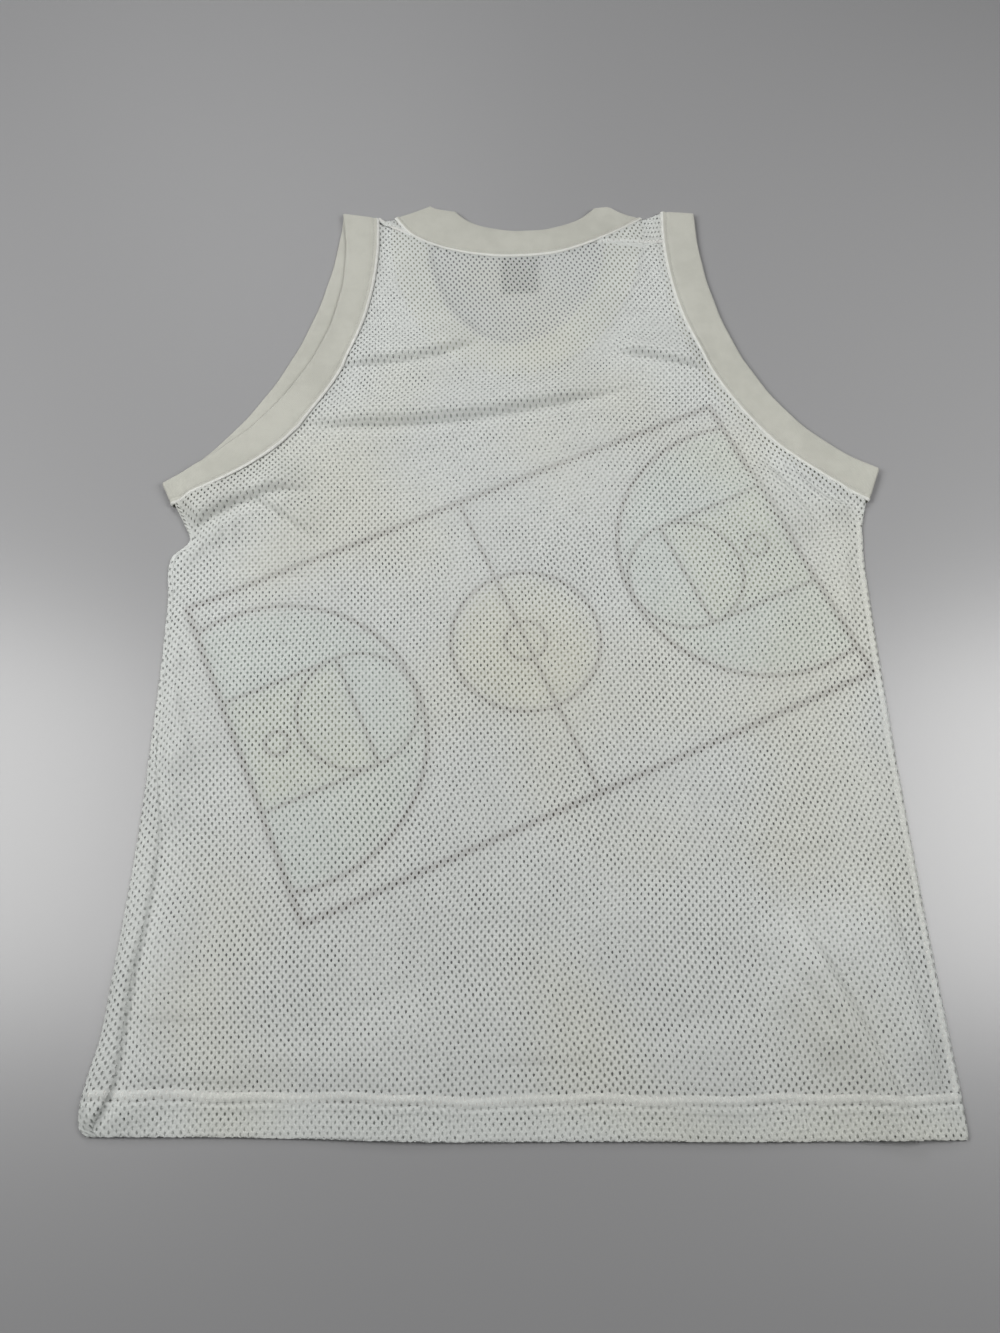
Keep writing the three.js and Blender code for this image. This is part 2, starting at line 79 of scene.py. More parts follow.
# %% Openings for the arms and the neck
# Bezier curves from the shoulder to the underarm: the free edge and the seam edge of each band
ARMHOLES = {
    "left": {
        "back_free": [(-161, 381.8), (-139, 262), (-191, 163), (-292.5, 97)],
        "back_seam": [(-127, 376.6), (-118, 258), (-163, 124), (-282.2, 76)],
        "front_free": [(-161, 381.8), (-165, 276), (-206, 163), (-292.5, 97)],
        "front_seam": [(-127, 376.6), (-132, 280), (-178, 140), (-282.2, 76)],
    },
    "right": {
        "back_free": [(163, 382.1), (164, 280), (197, 160), (296.5, 111)],
        "back_seam": [(132, 384.6), (126, 272), (173, 140), (284, 80)],
        "front_free": [(163, 382.1), (152, 282), (182, 160), (296.5, 111)],
        "front_seam": [(132, 384.6), (122, 268), (158, 142), (284, 80)],
    },
}
# The neck, from the wearer's left shoulder to the right: a Bezier curve, and splines through points
NECK = {
    "back_free": [(-56, 384.4), (-33, 358.5), (38, 356.5), (70, 388)],
    "back_seam": [(-113.5, 377.6), (-99, 359), (-76, 346.5), (-40, 336.5), (-4, 334),
                  (36, 338.5), (74, 353.5), (98, 366), (115.5, 377.4)],
    "front_free": [(-56, 384.4), (-80, 345), (-73, 299), (-46, 255), (-6, 236),
                   (36, 255), (66, 297), (79, 345), (70, 388)],
    "front_seam": [(-113.5, 377.6), (-115, 345), (-103, 292), (-70, 235), (-6, 206),
                   (60, 234), (97, 290), (112, 345), (115.5, 377.4)],
}
# how far the folded neck band stands up over each shoulder: share of its width from the seam, and rise
NECK_CROWNS = [[(0, 0), (0.19, 1.8), (0.47, 6.2), (0.57, 8.6), (0.67, 4.4), (1, 0)],
               [(0, 0), (0.21, -1.0), (0.34, -0.2), (0.52, 1.6), (0.68, 5.0), (1, 0)]]
LEVEL = [(0, 0), (1, 0)]  # the armholes' bands don't stand up
# the line of the shoulder fold, x and y, which isn't level over the straps
SHOULDER_LINE = np.array([(-161, 381.8), (-133, 377.0), (-122, 376.0), (-113.5, 377.8), (0, 378),
                          (115.5, 377.6), (123, 380.8), (132, 384.6), (163, 382.1)])
SHOULDER_SEAMS = {"left": ((-129, 376.3), (-95, 356)), "right": ((144, 349.6), (64, 351.8))}
LABEL_X, LABEL_TOP, LABEL_SIZE = 1.5, 334.5, (33.0, 40.0)
print("neck, mm wide:", NECK["back_free"][-1][0] - NECK["back_free"][0][0])

# %% Curves and small helpers
def smoothstep(start, end, value):
    t = np.clip((value - start) / (end - start), 0, 1)
    return t * t * (3 - 2 * t)


def bump(value, centre, width):
    """A soft hill of height 1."""
    return np.exp(-(((value - centre) / width) ** 2))


def bezier(corners, steps):
    t = np.linspace(0, 1, steps + 1)[:, None]
    a, b, c, d = np.array(corners, float)
    return a * (1 - t) ** 3 + 3 * b * t * (1 - t) ** 2 + 3 * c * t * t * (1 - t) + d * t**3


def spline(points, steps):
    """A uniform Catmull-Rom curve through the points, the same as the solids use."""
    p = np.array(points, float)
    p = np.vstack([p[:1], p, p[-1:]])
    place = np.linspace(0, len(points) - 1, steps + 1)
    row = np.minimum(place.astype(int), len(points) - 2)
    t = (place - row)[:, None]
    a, b, c, d = (p[row + k] for k in range(4))
    v0, v1 = (c - a) / 2, (d - b) / 2
    return (2 * b - 2 * c + v0 + v1) * t**3 + (3 * c - 3 * b - 2 * v0 - v1) * t * t + v0 * t + b


def curve(corners, steps):
    return bezier(corners, steps) if len(corners) == 4 else spline(corners, steps)


def leftward(points):
    """The way to the left of a curve's own direction, at each of its points."""
    along = np.gradient(points, axis=0)
    along /= np.linalg.norm(along, axis=1)[:, None]
    return np.stack([-along[:, 1], along[:, 0]], 1)


def moved_aside(points, distance):
    return points + distance * leftward(points)


def run_along(path):
    """How far along a path each of its points lies."""
    return np.append(0, np.cumsum(np.linalg.norm(np.diff(path, axis=0), axis=1)))

# %% Edges of the garment as curves
def shoulder(x):
    """The height of the shoulder fold."""
    return np.interp(x, *SHOULDER_LINE.T)


def side(column, y):
    """A column of the side table at any height, as a smooth curve through its rows."""
    ys, values = SIDES[:, 0], SIDES[:, column]
    last = len(ys) - 1
    row = np.clip(np.searchsorted(ys, y, side="right") - 1, 0, last - 1)
    before, after = np.maximum(row - 1, 0), np.minimum(row + 2, last)
    span = ys[row + 1] - ys[row]
    t = np.clip((y - ys[row]) / span, 0, 1)
    low = (values[row + 1] - values[before]) / (ys[row + 1] - ys[before]) * span
    high = (values[after] - values[row]) / (ys[after] - ys[row]) * span
    t2, t3 = t * t, t * t * t
    return ((2 * t3 - 3 * t2 + 1) * values[row] + (t3 - 2 * t2 + t) * low
            + (3 * t2 - 2 * t3) * values[row + 1] + (t3 - t2) * high)

# %% Where a point lies
def inside(polygon, x, y):
    """Which points lie in a closed outline, by counting the edges to their right."""
    odd = np.zeros(x.shape, bool)
    for (ax, ay), (bx, by) in zip(polygon, np.roll(polygon, -1, axis=0)):
        if ay == by:
            continue
        crosses = (ay > y) != (by > y)
        odd ^= crosses & (x < (bx - ax) * (y - ay) / (by - ay) + ax)
    return odd


def nearest(points, x, y):
    """The nearest place on a curve: how far off it is, how far along, and the place itself."""
    best = np.full(x.shape, 1e9)
    along = np.zeros(x.shape)
    at_x, at_y = np.zeros(x.shape), np.zeros(x.shape)
    last = len(points) - 1
    for i, ((ax, ay), (bx, by)) in enumerate(zip(points[:-1], points[1:])):
        dx, dy = bx - ax, by - ay
        t = np.clip(((x - ax) * dx + (y - ay) * dy) / max(dx * dx + dy * dy, 1e-9), 0, 1)
        px, py = ax + t * dx, ay + t * dy
        distance = np.hypot(x - px, y - py)
        closer = distance < best
        best = np.where(closer, distance, best)
        along = np.where(closer, (i + t) / last, along)
        at_x, at_y = np.where(closer, px, at_x), np.where(closer, py, at_y)
    return best, along, at_x, at_y


armhole = {name: {edge: curve(row[edge], 96) for edge in row} for name, row in ARMHOLES.items()}
neck = {edge: curve(corners, 96) for edge, corners in NECK.items()}
for name, row in armhole.items():
    length = run_along(row["back_free"])[-1]
    print("armhole", name, "is", round(float(length)), "mm along its back free edge")

# %% [markdown]
# ## How high the cloth lies
# The front panel is flat on the table. The back lies on it and carries the folds, of three forms: a drop,
# where the cloth comes down to a line and goes on lower beyond it, a single soft ridge, and a trough
# between two ridges. Cloth simulation could make folds, but not these ones, and a jersey smoothed by hand
# has few. So each is placed one by one along its own short curve, uneven in length, width and height, and
# they die out where the cloth is held by a seam.

# %% Folds of the back
FOLDS = [
    # form, from, via, to, width (below 0: the high side is on the right of the way), height
    ("drop", (-168, 213), (-92, 209), (-22, 243), 10, 9.2),
    ("drop", (-208, 154), (-60, 138), (128, 200), 12, 11.0),
    ("ridge", (-176, 170), (-120, 166), (-64, 176), 6, 1.0),
    ("drop", (76, 227), (122, 222), (168, 207), 9, 7.8),
    ("ridge", (-136, 196), (-60, 202), (0, 234), 8, 1.6),
    ("ridge", (58, 242), (90, 238), (124, 226), 7, 1.6),
    ("drop", (-280, 32), (-238, 90), (-160, 90), 12, 10.0),
    ("drop", (-228, 86), (-206, 74), (-158, 40), 10, 6.0),
    ("ridge", (-282, 24), (-254, 38), (-222, 74), 8, 2.6),
    ("drop", (202, 126), (220, 96), (250, 46), -11, 7.0),
    ("drop", (226, 122), (242, 74), (274, 80), -8, 6.0),
    ("drop", (262, -46), (266, 10), (264, 50), 7, 2.2),
    ("drop", (-257, -68), (-262, -40), (-274, -14), 7, 3.4),
    ("drop", (-234, -146), (-252, -110), (-264, -66), 8, 3.2),
    ("ridge", (-264, -122), (-258, -160), (-252, -196), 8, 2.4),
    ("drop", (190, -236), (228, -316), (263, -394), -10.5, 10.4),
    ("drop", (176, -280), (202, -312), (222, -344), -10, 2.8),
    ("ridge", (214, -236), (250, -306), (282, -372), 11, 3.0),
    ("drop", (258, -206), (270, -290), (280, -376), -11, 4.4),
    ("drop", (-262, -320), (-240, -324), (-204, -320), 7, 0.9),
    ("drop", (-262, -364), (-216, -358), (-172, -366), 7, 1.1),
    ("ridge", (-214, -350), (-150, -338), (-90, -362), 12, 1.1),
    ("ridge", (-86, -300), (-70, -350), (-72, -394), 42, 2.2),
    ("ridge", (112, -318), (118, -356), (126, -394), 36, 2.4),
    ("ridge", (-120, 76), (0, 92), (130, 110), 40, 2.0),
    # finer creases, too slight for the solids
    ("drop", (94, 284), (112, 304), (124, 334), 6, 0.9),
    ("drop", (-128, 298), (-108, 304), (-88, 310), 7, 1.1),
    ("drop", (-122, 328), (-100, 330), (-72, 340), 6, 0.8),
    ("drop", (70, 326), (96, 322), (122, 328), 7, 0.8),
    ("drop", (-6, 262), (50, 264), (98, 256), 9, 0.9),
    ("trough", (148, 110), (158, 134), (176, 146), 6, 0.8),
    ("trough", (172, 118), (186, 134), (202, 144), 6, 0.8),
    ("trough", (-236, 66), (-238, 52), (-236, 36), 5, 1.2),
    ("drop", (-40, 126), (40, 118), (104, 142), 9, 0.6),
    ("drop", (-220, 18), (-180, 8), (-144, 14), 9, 0.8),
    ("drop", (-48, -344), (10, -350), (66, -346), 8, 0.7),
    ("drop", (146, -196), (190, -212), (232, -204), 9, 0.7),
    ("drop", (-70, -250), (-20, -262), (30, -256), 12, 0.6),
]

# %% The form of a fold
REACH = {"ridge": 3.2, "trough": 3.2, "drop": 5}  # how far off a fold still tells, in its widths
DROP_BLEND = 0.45  # the high side of a drop passes into the low one over this share of its width
LOW_SIDE = 0.35  # height of the low side over that of the high side
LINE_ROUND = 0.14  # keeps the line of a drop from being a sharp crease
fold_curves = [bezier([a, np.add(a, np.multiply(2, b)) / 3, np.add(c, np.multiply(2, b)) / 3, c], 12)
               for _, a, b, c, _, _ in FOLDS]


def fold_height(x, y):
    """The folds alone, as heights added to the flat cloth."""
    total = np.zeros(x.shape)
    for points, (form, *_, end, width, height) in zip(fold_curves, FOLDS):
        high_side, width = np.sign(width), abs(width)
        reach = REACH[form] * width
        low, high = points.min(0) - reach, points.max(0) + reach
        near = (x > low[0]) & (x < high[0]) & (y > low[1]) & (y < high[1])
        distance, along, at_x, at_y = nearest(points, x[near], y[near])
        across = (distance / width) ** 2
        if form == "ridge":
            shape = np.exp(-across)
        elif form == "trough":
            shape = across * np.exp(1 - across)
        else:
            last = len(points) - 2
            step = np.diff(points, axis=0)[np.minimum(along * (last + 1), last).astype(int)]
            left = np.sign(high_side * (step[:, 0] * (y[near] - at_y) - step[:, 1] * (x[near] - at_x)))
            slope = np.hypot(distance / width, LINE_ROUND)
            shape = smoothstep(-DROP_BLEND, DROP_BLEND, left * distance / width) * (1 - LOW_SIDE) + LOW_SIDE
            shape *= slope * np.exp(1 - slope)
        # a fold dies out at its end, unless it runs out over the hem
        held = smoothstep(1, 0.7, along) if end[1] > HEM_Y else 1 - 0.6 * smoothstep(0.5, 1, along)
        fade = smoothstep(0, 0.3, along) * held
        total[near] += height * fade * shape
    return total

# %% Slow waves, and the whole height of the back over its level
SWELLS = 14  # slow waves that keep the cloth from being dead flat
SWELL_HEIGHT = 0.6
SHORTEST, LONGEST = 45, 190  # lengths of the waves
rng = np.random.default_rng(7)
swell_direction = rng.uniform(0, math.pi, SWELLS)
swell_length = rng.uniform(SHORTEST, LONGEST, SWELLS)
swell_phase = rng.uniform(0, 2 * math.pi, SWELLS)


def swell(x, y):
    """Slow waves between 0 and 1."""
    total = np.zeros(x.shape)
    for direction, length, phase in zip(swell_direction, swell_length, swell_phase):
        run = x * math.cos(direction) + y * math.sin(direction)
        total += length / LONGEST * np.sin(2 * math.pi * run / length + phase)
    return 0.5 * (1 + np.tanh(total * 0.7))


# places that stand off the table: x, y, reach and height
RAISED = [(-296, 92, 52, 2.6), (300, 104, 44, 2.2), (-150, 384, 30, 1.6), (-80, 388, 24, 2.2),
          (84, 390, 24, 2.0), (150, 386, 30, 1.6)]


def lift(x, y):
    """How far the back stands off its level, with folds that fade to the folded sides and the shoulders."""
    distance = np.minimum(x - side(LEFT, y), side(RIGHT, y) - x)
    fade = smoothstep(2, 16, distance) * smoothstep(372, 340, y)
    raised = sum(height * bump(np.hypot(x - at_x, y - at_y), 0, reach)
                 for at_x, at_y, reach, height in RAISED)
    return (fold_height(x, y) + SWELL_HEIGHT * swell(x, y)) * fade + raised


grid_x, grid_y = np.meshgrid(np.arange(-280, 280, 10.0), np.arange(-390, 370, 10.0))
print(len(FOLDS), "folds stand up to", round(float(lift(grid_x, grid_y).max()), 1), "mm over the flat cloth")

# %% [markdown]
# ## The two layers
# Each layer is a height over the table. The lower one is level. The upper one rests on it, steps up over
# the front bands and the label that lie under it, sinks inside the front neck where nothing is under it,
# and carries the seams' own small relief: a groove along a row of stitches, a low ridge where turned-in
# cloth lies beside it, and the thick fold of the left side with its seam. Displacement from a picture
# could do this, but a formula keeps it in the right place at any fineness.

# %% Heights of the layers
OVER_BANDS, OVER_LABEL, OVER_HEM, INTO_NECK = 0.9, 0.35, 0.7, 0.7  # steps of the upper layer
BANDS_FROM, SCOOP_FROM = 60, 230  # y under which no band lies, and under which the front neck is closed
lower_bands = [(curve(row["front_free"], 24) + curve(row["front_seam"], 24)) / 2
               for row in [NECK, *ARMHOLES.values()]]
scoop = curve(NECK["front_free"], 40)
neck_edge = curve(NECK["back_seam"], 40)


def lower_mid(x, y):
    return np.full(x.shape, MESH_WALL / 2)


def over_lower_pieces(x, y):
    """How far the upper layer steps up over what lies under it, and down inside the front neck."""
    step = np.zeros(x.shape)
    near = y > BANDS_FROM
    for middle in lower_bands:
        step[near] = np.maximum(step[near], smoothstep(22, 17, nearest(middle, x[near], y[near])[0]))
    high = y > SCOOP_FROM
    hollow = np.zeros(x.shape)
    depth = nearest(scoop, x[high], y[high])[0]
    below_neck = nearest(neck_edge, x[high], y[high])[0]
    hollow[high] = inside(scoop, x[high], y[high]) * smoothstep(0, 9, depth) * smoothstep(3, 14, below_neck)
    half_label, label_end = LABEL_SIZE[0] / 2, LABEL_TOP - LABEL_SIZE[1]
    label = smoothstep(half_label + 3, half_label - 0.5, np.abs(x - LABEL_X))
    label = label * smoothstep(label_end - 3.5, label_end + 0.5, y)
    hem = smoothstep(HEM_Y + HEM_TURN + 4, HEM_Y + HEM_TURN - 2, y)
    return OVER_BANDS * step - INTO_NECK * hollow + OVER_LABEL * label * hollow + OVER_HEM * hem

# %% Relief of the seams
HEM_RIDGE, HEM_LOWER_RIDGE, HEM_GROOVE = 0.75, 0.35, 0.5  # above, below and along the hem's stitches
FLANK_RIDGE, FLANK_RISE = 3.2, 2.0  # the left side seam's turned-in cloth, and the slope beside it
SHOULDER_RIDGE, SHOULDER_GROOVE = 0.5, 0.45


def hem_stitch_y(x):
    """The hem's line of stitches, never quite straight."""
    return HEM_Y + HEM_TURN + 0.8 * np.sin(x / 23) + 0.5 * np.sin(x / 9.1 + 2)


def over_seam(x, y, name):
    """How far above a shoulder seam a place is, and a share that is 1 beside it and 0 past its ends."""
    start, end = np.array(SHOULDER_SEAMS[name], float)
    across = np.array([start[1] - end[1], end[0] - start[0]])
    across *= np.sign(across[1]) / np.linalg.norm(across)
    over = (x - start[0]) * across[0] + (y - start[1]) * across[1]
    first, last = sorted((start[0], end[0]))
    return over, smoothstep(first - 2, first + 3, x) * smoothstep(last + 2, last - 3, x)


def sewn_relief(x, y):
    """Grooves and ridges of the seams in the upper layer."""
    uneven = 1 + 0.16 * np.sin(x / 17) + 0.1 * np.sin(x / 6.3 + 1)
    above = y - hem_stitch_y(x)
    hem = uneven * (HEM_RIDGE * bump(above, 3.4, 2.4) + HEM_LOWER_RIDGE * bump(above, -3.2, 1.8))
    hem = hem - HEM_GROOVE * bump(above, -0.2, 1.2)
    inward = x - side(LEFT, y) - side(SEAM, y)
    plateau = smoothstep(3.2, -2.2, inward) * smoothstep(1, 7, x - side(LEFT, y))
    rise = smoothstep(0, 12, inward) * smoothstep(46, 16, inward)
    thicker = 1 + 0.2 * np.sin(y / 26) + 0.4 * smoothstep(-220, -320, y)
    flank = (FLANK_RIDGE * plateau + FLANK_RISE * rise) * thicker * smoothstep(-85, -150, y)
    flank *= smoothstep(HEM_Y, HEM_Y + 16, y)
    relief = hem + flank
    near = y > 335
    for name in SHOULDER_SEAMS:
        over, beside = over_seam(x[near], y[near], name)
        ridge, groove = SHOULDER_RIDGE * bump(over, 3.4, 2.6), SHOULDER_GROOVE * bump(over, -0.4, 1.2)
        relief[near] += beside * (ridge - groove)
    return relief


def upper_mid(x, y):
    """The middle of the upper layer's cloth."""
    return MESH_APART + over_lower_pieces(x, y) + lift(x, y) + MESH_WALL / 2 + sewn_relief(x, y)


print("the back lies", round(float(upper_mid(grid_x, grid_y).mean()), 1), "mm over the table on average")

# %% [markdown]
# ## Folding flat cloth over the edges
# A jersey is a tube, so a panel doesn't end where the outline does. The back wraps under the right side
# and the front wraps over the left one and over both shoulders, and each hem is turned up inside. One
# function for each panel takes a point of the flat pattern piece to its place: straight on, round a half
# circle, and back in the other layer. The eyelets then run round the edges without a break, as they do in
# cloth.

# %% From the flat piece to its place
HEM_APART = 0.75  # from the outer layer of a turned hem to the part turned up inside it
PRESSED = 0.15  # the lower layer lies this much under the middle of its wall, as it is pressed flat


def turned(distance):
    """Past the start of a turn: how far the cloth still goes on, and its share of the way across."""
    angle = np.clip(distance / TURN_RADIUS, 0, math.pi)
    onward = TURN_RADIUS * np.sin(angle) - np.maximum(distance - math.pi * TURN_RADIUS, 0)
    return np.where(distance > 0, onward, distance), (1 - np.cos(angle)) / 2


def hem_turned(flat_y):
    """The height up the garment, and 1 on the part of the hem that is turned up inside."""
    below = HEM_Y - flat_y
    return HEM_Y + np.sqrt(below**2 + 0.2), smoothstep(-0.6, 0.6, below)


def hung_askew(x, y):
    """The hem lies a little aslant: up at the left, down in the middle."""
    droop = 2.3 * smoothstep(-40, -290, x) - 1.0 * bump(x, 40, 150) + 0.35 * np.sin(x / 37)
    return y + droop * smoothstep(-290, -370, y)


def place_back(flat_x, flat_y):
    """The back: the upper layer, wrapped under at the right side."""
    y, inner = hem_turned(flat_y)
    start = side(RIGHT, y) - TURN_RADIUS
    onward, share = turned(flat_x - start)
    x = start + onward
    upper = upper_mid(x, y) - HEM_APART * inner
    lower = lower_mid(x, y) - PRESSED + HEM_APART * inner
    return np.stack([x, hung_askew(x, y), upper * (1 - share) + lower * share], -1)


def place_front(flat_x, flat_y):
    """The front: the lower layer, wrapped over at the left side and at both shoulders."""
    y, inner = hem_turned(flat_y)
    start = side(LEFT, y) + TURN_RADIUS
    onward, share = turned(start - flat_x)
    x = start - onward
    top = shoulder(x) - TURN_RADIUS
    onward, over = turned(y - top)
    y = top + onward
    share = np.maximum(share, over)
    upper = upper_mid(x, y) - HEM_APART * inner
    lower = lower_mid(x, y) - PRESSED + HEM_APART * inner
    return np.stack([x, hung_askew(x, y), upper * share + lower * (1 - share)], -1)


def folded_y(flat_y):
    return np.where(flat_y < HEM_Y, 2 * HEM_Y - flat_y, flat_y)

# %% Outlines of the flat pieces
WRAP = (math.pi - 2) * TURN_RADIUS  # cloth that the half circle takes up
underarm = SIDES[-1, 0]
flat_heights = np.concatenate([[HEM_Y - HEM_TURN], np.arange(HEM_Y, underarm, 4.0), [underarm]])
side_y = folded_y(flat_heights)
arm_seam = {(name, face): moved_aside(armhole[name][face + "_seam"], way * ALLOWANCE)
            for name, way in (("left", -1), ("right", 1)) for face in ("back", "front")}
neck_seam = {face: moved_aside(neck[face + "_seam"], ALLOWANCE) for face in ("back", "front")}


def beyond_seam(points, name, above):
    """The part of a curve on one side of a shoulder seam."""
    (x0, y0), (x1, y1) = SHOULDER_SEAMS[name]
    share = np.clip((points[:, 0] - x0) / (x1 - x0), 0, 1)
    return points[(points[:, 1] > y0 + share * (y1 - y0)) == above]


def below_shoulder(points):
    return points[points[:, 1] < shoulder(points[:, 0]) - 0.2]


def over_shoulder(points):
    """A curve of the upper layer, on the flat front piece beyond the shoulder."""
    kept = below_shoulder(points)
    return np.stack([kept[:, 0], 2 * shoulder(kept[:, 0]) + WRAP - kept[:, 1]], 1)


half_neck = len(neck_seam["back"]) // 2
neck_back_left, neck_back_right = neck_seam["back"][:half_neck], neck_seam["back"][half_neck:]
back_outline = np.vstack([
    np.stack([side(RIGHT, side_y) + side(SEAM, side_y) + WRAP, flat_heights], 1),
    beyond_seam(arm_seam["right", "back"], "right", False)[::-1],
    beyond_seam(neck_back_right, "right", False)[::-1],
    beyond_seam(neck_back_left, "left", False)[::-1],
    beyond_seam(arm_seam["left", "back"], "left", False),
    np.stack([side(LEFT, side_y) + side(SEAM, side_y), flat_heights], 1)[::-1],
])
front_outline = np.vstack([
    np.stack([side(RIGHT, side_y) - side(SEAM, side_y), flat_heights], 1),
    below_shoulder(arm_seam["right", "front"])[::-1],
    over_shoulder(beyond_seam(arm_seam["right", "back"], "right", True)),
    over_shoulder(beyond_seam(neck_back_right, "right", True)),
    below_shoulder(neck_seam["front"])[::-1],
    over_shoulder(beyond_seam(neck_back_left, "left", True)),
    over_shoulder(beyond_seam(arm_seam["left", "back"], "left", True))[::-1],
    below_shoulder(arm_seam["left", "front"]),
    np.stack([side(LEFT, side_y) - side(SEAM, side_y) - WRAP, flat_heights], 1)[::-1],
])
print("flat back piece, mm:", np.round(np.ptp(back_outline, axis=0)),
      " flat front piece, mm:", np.round(np.ptp(front_outline, axis=0)))

# %% [markdown]
# ## A net of eyelets
# The mesh is a warp knit with upright oval holes in a staggered lattice. An alpha picture or a Wireframe
# modifier would suit a small patch; here each hole is real, since light falls through it onto the layer
# below. The lattice's cells are six-sided. Every cell is a ring of six quads from its corners, where the
# yarns gather and stand up, to the rim of its hole, which lies lower. Corners belong to three cells, so
# the net is one surface.

# %% The net of eyelets
EYELET_PITCH, EYELET_ROW = 5.17, 3.2
CORNER_REACH = (EYELET_PITCH**2 / 4 + EYELET_ROW**2) / (2 * EYELET_ROW)
CORNER_RELIEF, CORNER_UNEVEN = 0.09, 0.02  # how far yarns stand up where they gather
SLIVER = 0.05  # square mm below which a trimmed quad is dropped
OPEN_MORE, UNEVEN = 0.09, 0.07  # how the holes differ: as a share of their size, and in mm at each corner
WANDER, WANDER_LENGTHS = 0.045, (37, 24, 17)  # the rows never run quite straight
SNAP = 1.1  # points this near to the fold of the hem lie on it
HOLE = np.array([(0, 1.30), (-0.67, 0.57), (-0.67, -0.57), (0, -1.30), (0.67, -0.57), (0.67, 0.57)])
BACK_SLANT, FRONT_SLANT = 3.6, -5.5  # degrees that the rows of holes lie aslant


def eyelet_net(outline, slant):
    """The net trimmed to a flat outline: points, quads, each quad's row and which points are rims."""
    cos, sin = math.cos(math.radians(slant)), math.sin(math.radians(slant))
    spin = np.array([[cos, sin], [-sin, cos]])
    low, high = (outline @ spin.T).min(0), (outline @ spin.T).max(0)
    columns = np.arange(math.floor(low[0] / EYELET_PITCH) - 3, math.ceil(high[0] / EYELET_PITCH) + 4)
    rows = np.arange(math.floor(low[1] / EYELET_ROW) - 3, math.ceil(high[1] / EYELET_ROW) + 4)
    i, j = np.meshgrid(columns, rows)
    odd = j % 2
    centre = np.stack([i * EYELET_PITCH + odd * EYELET_PITCH / 2, j * EYELET_ROW], -1)
    cells = i.size
    openness = 1 + OPEN_MORE * np.sin(centre[..., 0] / 23) * np.sin(centre[..., 1] / 31 + 1)
    rims = centre[..., None, :] + HOLE * openness[..., None, None] + rng.normal(0, UNEVEN, i.shape + (6, 2))
    corner = np.array([0, CORNER_REACH])
    points = np.vstack([(centre + corner).reshape(-1, 2), (centre - corner).reshape(-1, 2),
                        rims.reshape(-1, 2)]) @ spin
    for length, phase in zip(WANDER_LENGTHS, rng.uniform(0, 2 * math.pi, (3, 2))):
        points += WANDER * length * np.sin(points[:, ::-1] / length + phase)

    # every cell with its six corners, which its neighbours own in part, and its own six rim points
    number = np.arange(cells).reshape(i.shape)
    r, c = np.meshgrid(np.arange(1, len(rows) - 1), np.arange(1, len(columns) - 1), indexing="ij")
    shift = odd[r, c]
    ring = np.stack([
        number[r, c],
        cells + number[r + 1, c + shift - 1],
        number[r - 1, c + shift - 1],
        cells + number[r, c],
        number[r - 1, c + shift],
        cells + number[r + 1, c + shift],
    ], -1).reshape(-1, 6)
    rim = 2 * cells + 6 * number[r, c].reshape(-1, 1) + np.arange(6)
    within = inside(outline, points[:, 0], points[:, 1])
    kept = within[ring].any(1) | within[rim].any(1)
    ring, rim, row = ring[kept], rim[kept], j[r, c].reshape(-1)[kept]
    quads = np.stack([ring, np.roll(ring, -1, 1), np.roll(rim, -1, 1), rim], -1).reshape(-1, 4)

    # points outside the outline move onto it
    out = np.zeros(len(points), bool)
    out[quads.ravel()] = True
    out &= ~within
    closed = np.vstack([outline, outline[:1]])
    _, _, points[out, 0], points[out, 1] = nearest(closed, points[out, 0], points[out, 1])
    on_fold = np.abs(points[:, 1] - HEM_Y) < SNAP
    points[on_fold, 1] = HEM_Y
    return points, quads, np.repeat(row, 6), np.arange(len(points)) >= 2 * cells

# %% Laying the net on its place
def laid(points, rims, place):
    """Places flat points and raises the corners of the net over the rims of the holes."""
    step = 0.3  # to a neighbouring place, for the slope
    x, y = points.T
    here = place(x, y)
    normal = np.cross(place(x + step, y) - here, place(x, y + step) - here)
    normal /= np.linalg.norm(normal, axis=1)[:, None] + 1e-12
    raised = np.where(rims, -CORNER_RELIEF, CORNER_RELIEF + CORNER_UNEVEN * rng.standard_normal(len(x)))
    return here + normal * raised[:, None]


def vertex_normals(points, quads):
    a, b, c, d = (points[quads[:, k]] for k in range(4))
    faces = np.cross(c - a, d - b)
    total = np.stack([np.bincount(quads.ravel(), np.repeat(faces[:, k], 4), len(points))
                      for k in range(3)], 1)
    return total / (np.linalg.norm(total, axis=1)[:, None] + 1e-12)

# %% Mesh objects from arrays
def make_piece(name, points, faces, flat, node, normals=None):
    """A smooth mesh object from points in mm. flat is each face corner's place on the cloth, a UV map."""
    mesh = bpy.data.meshes.new(name)
    mesh.from_pydata((points * MM).tolist(), [], faces.tolist())
    unfolded = mesh.uv_layers.new(name="OFBake")
    spread = flat.reshape(-1, 2) - flat.reshape(-1, 2).min(0)
    unfolded.data.foreach_set("uv", (spread / spread.max()).astype(np.float32).ravel())
    mesh.polygons.foreach_set("use_smooth", np.ones(len(mesh.polygons), bool))
    if normals is not None:
        mesh.normals_split_custom_set_from_vertices(normals.tolist())
    piece = bpy.data.objects.new(name, mesh)
    bpy.context.scene.collection.objects.link(piece)
    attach(piece, "root")
    if node:
        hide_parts(node)
    print(name, "has", len(mesh.polygons), "faces")
    return piece

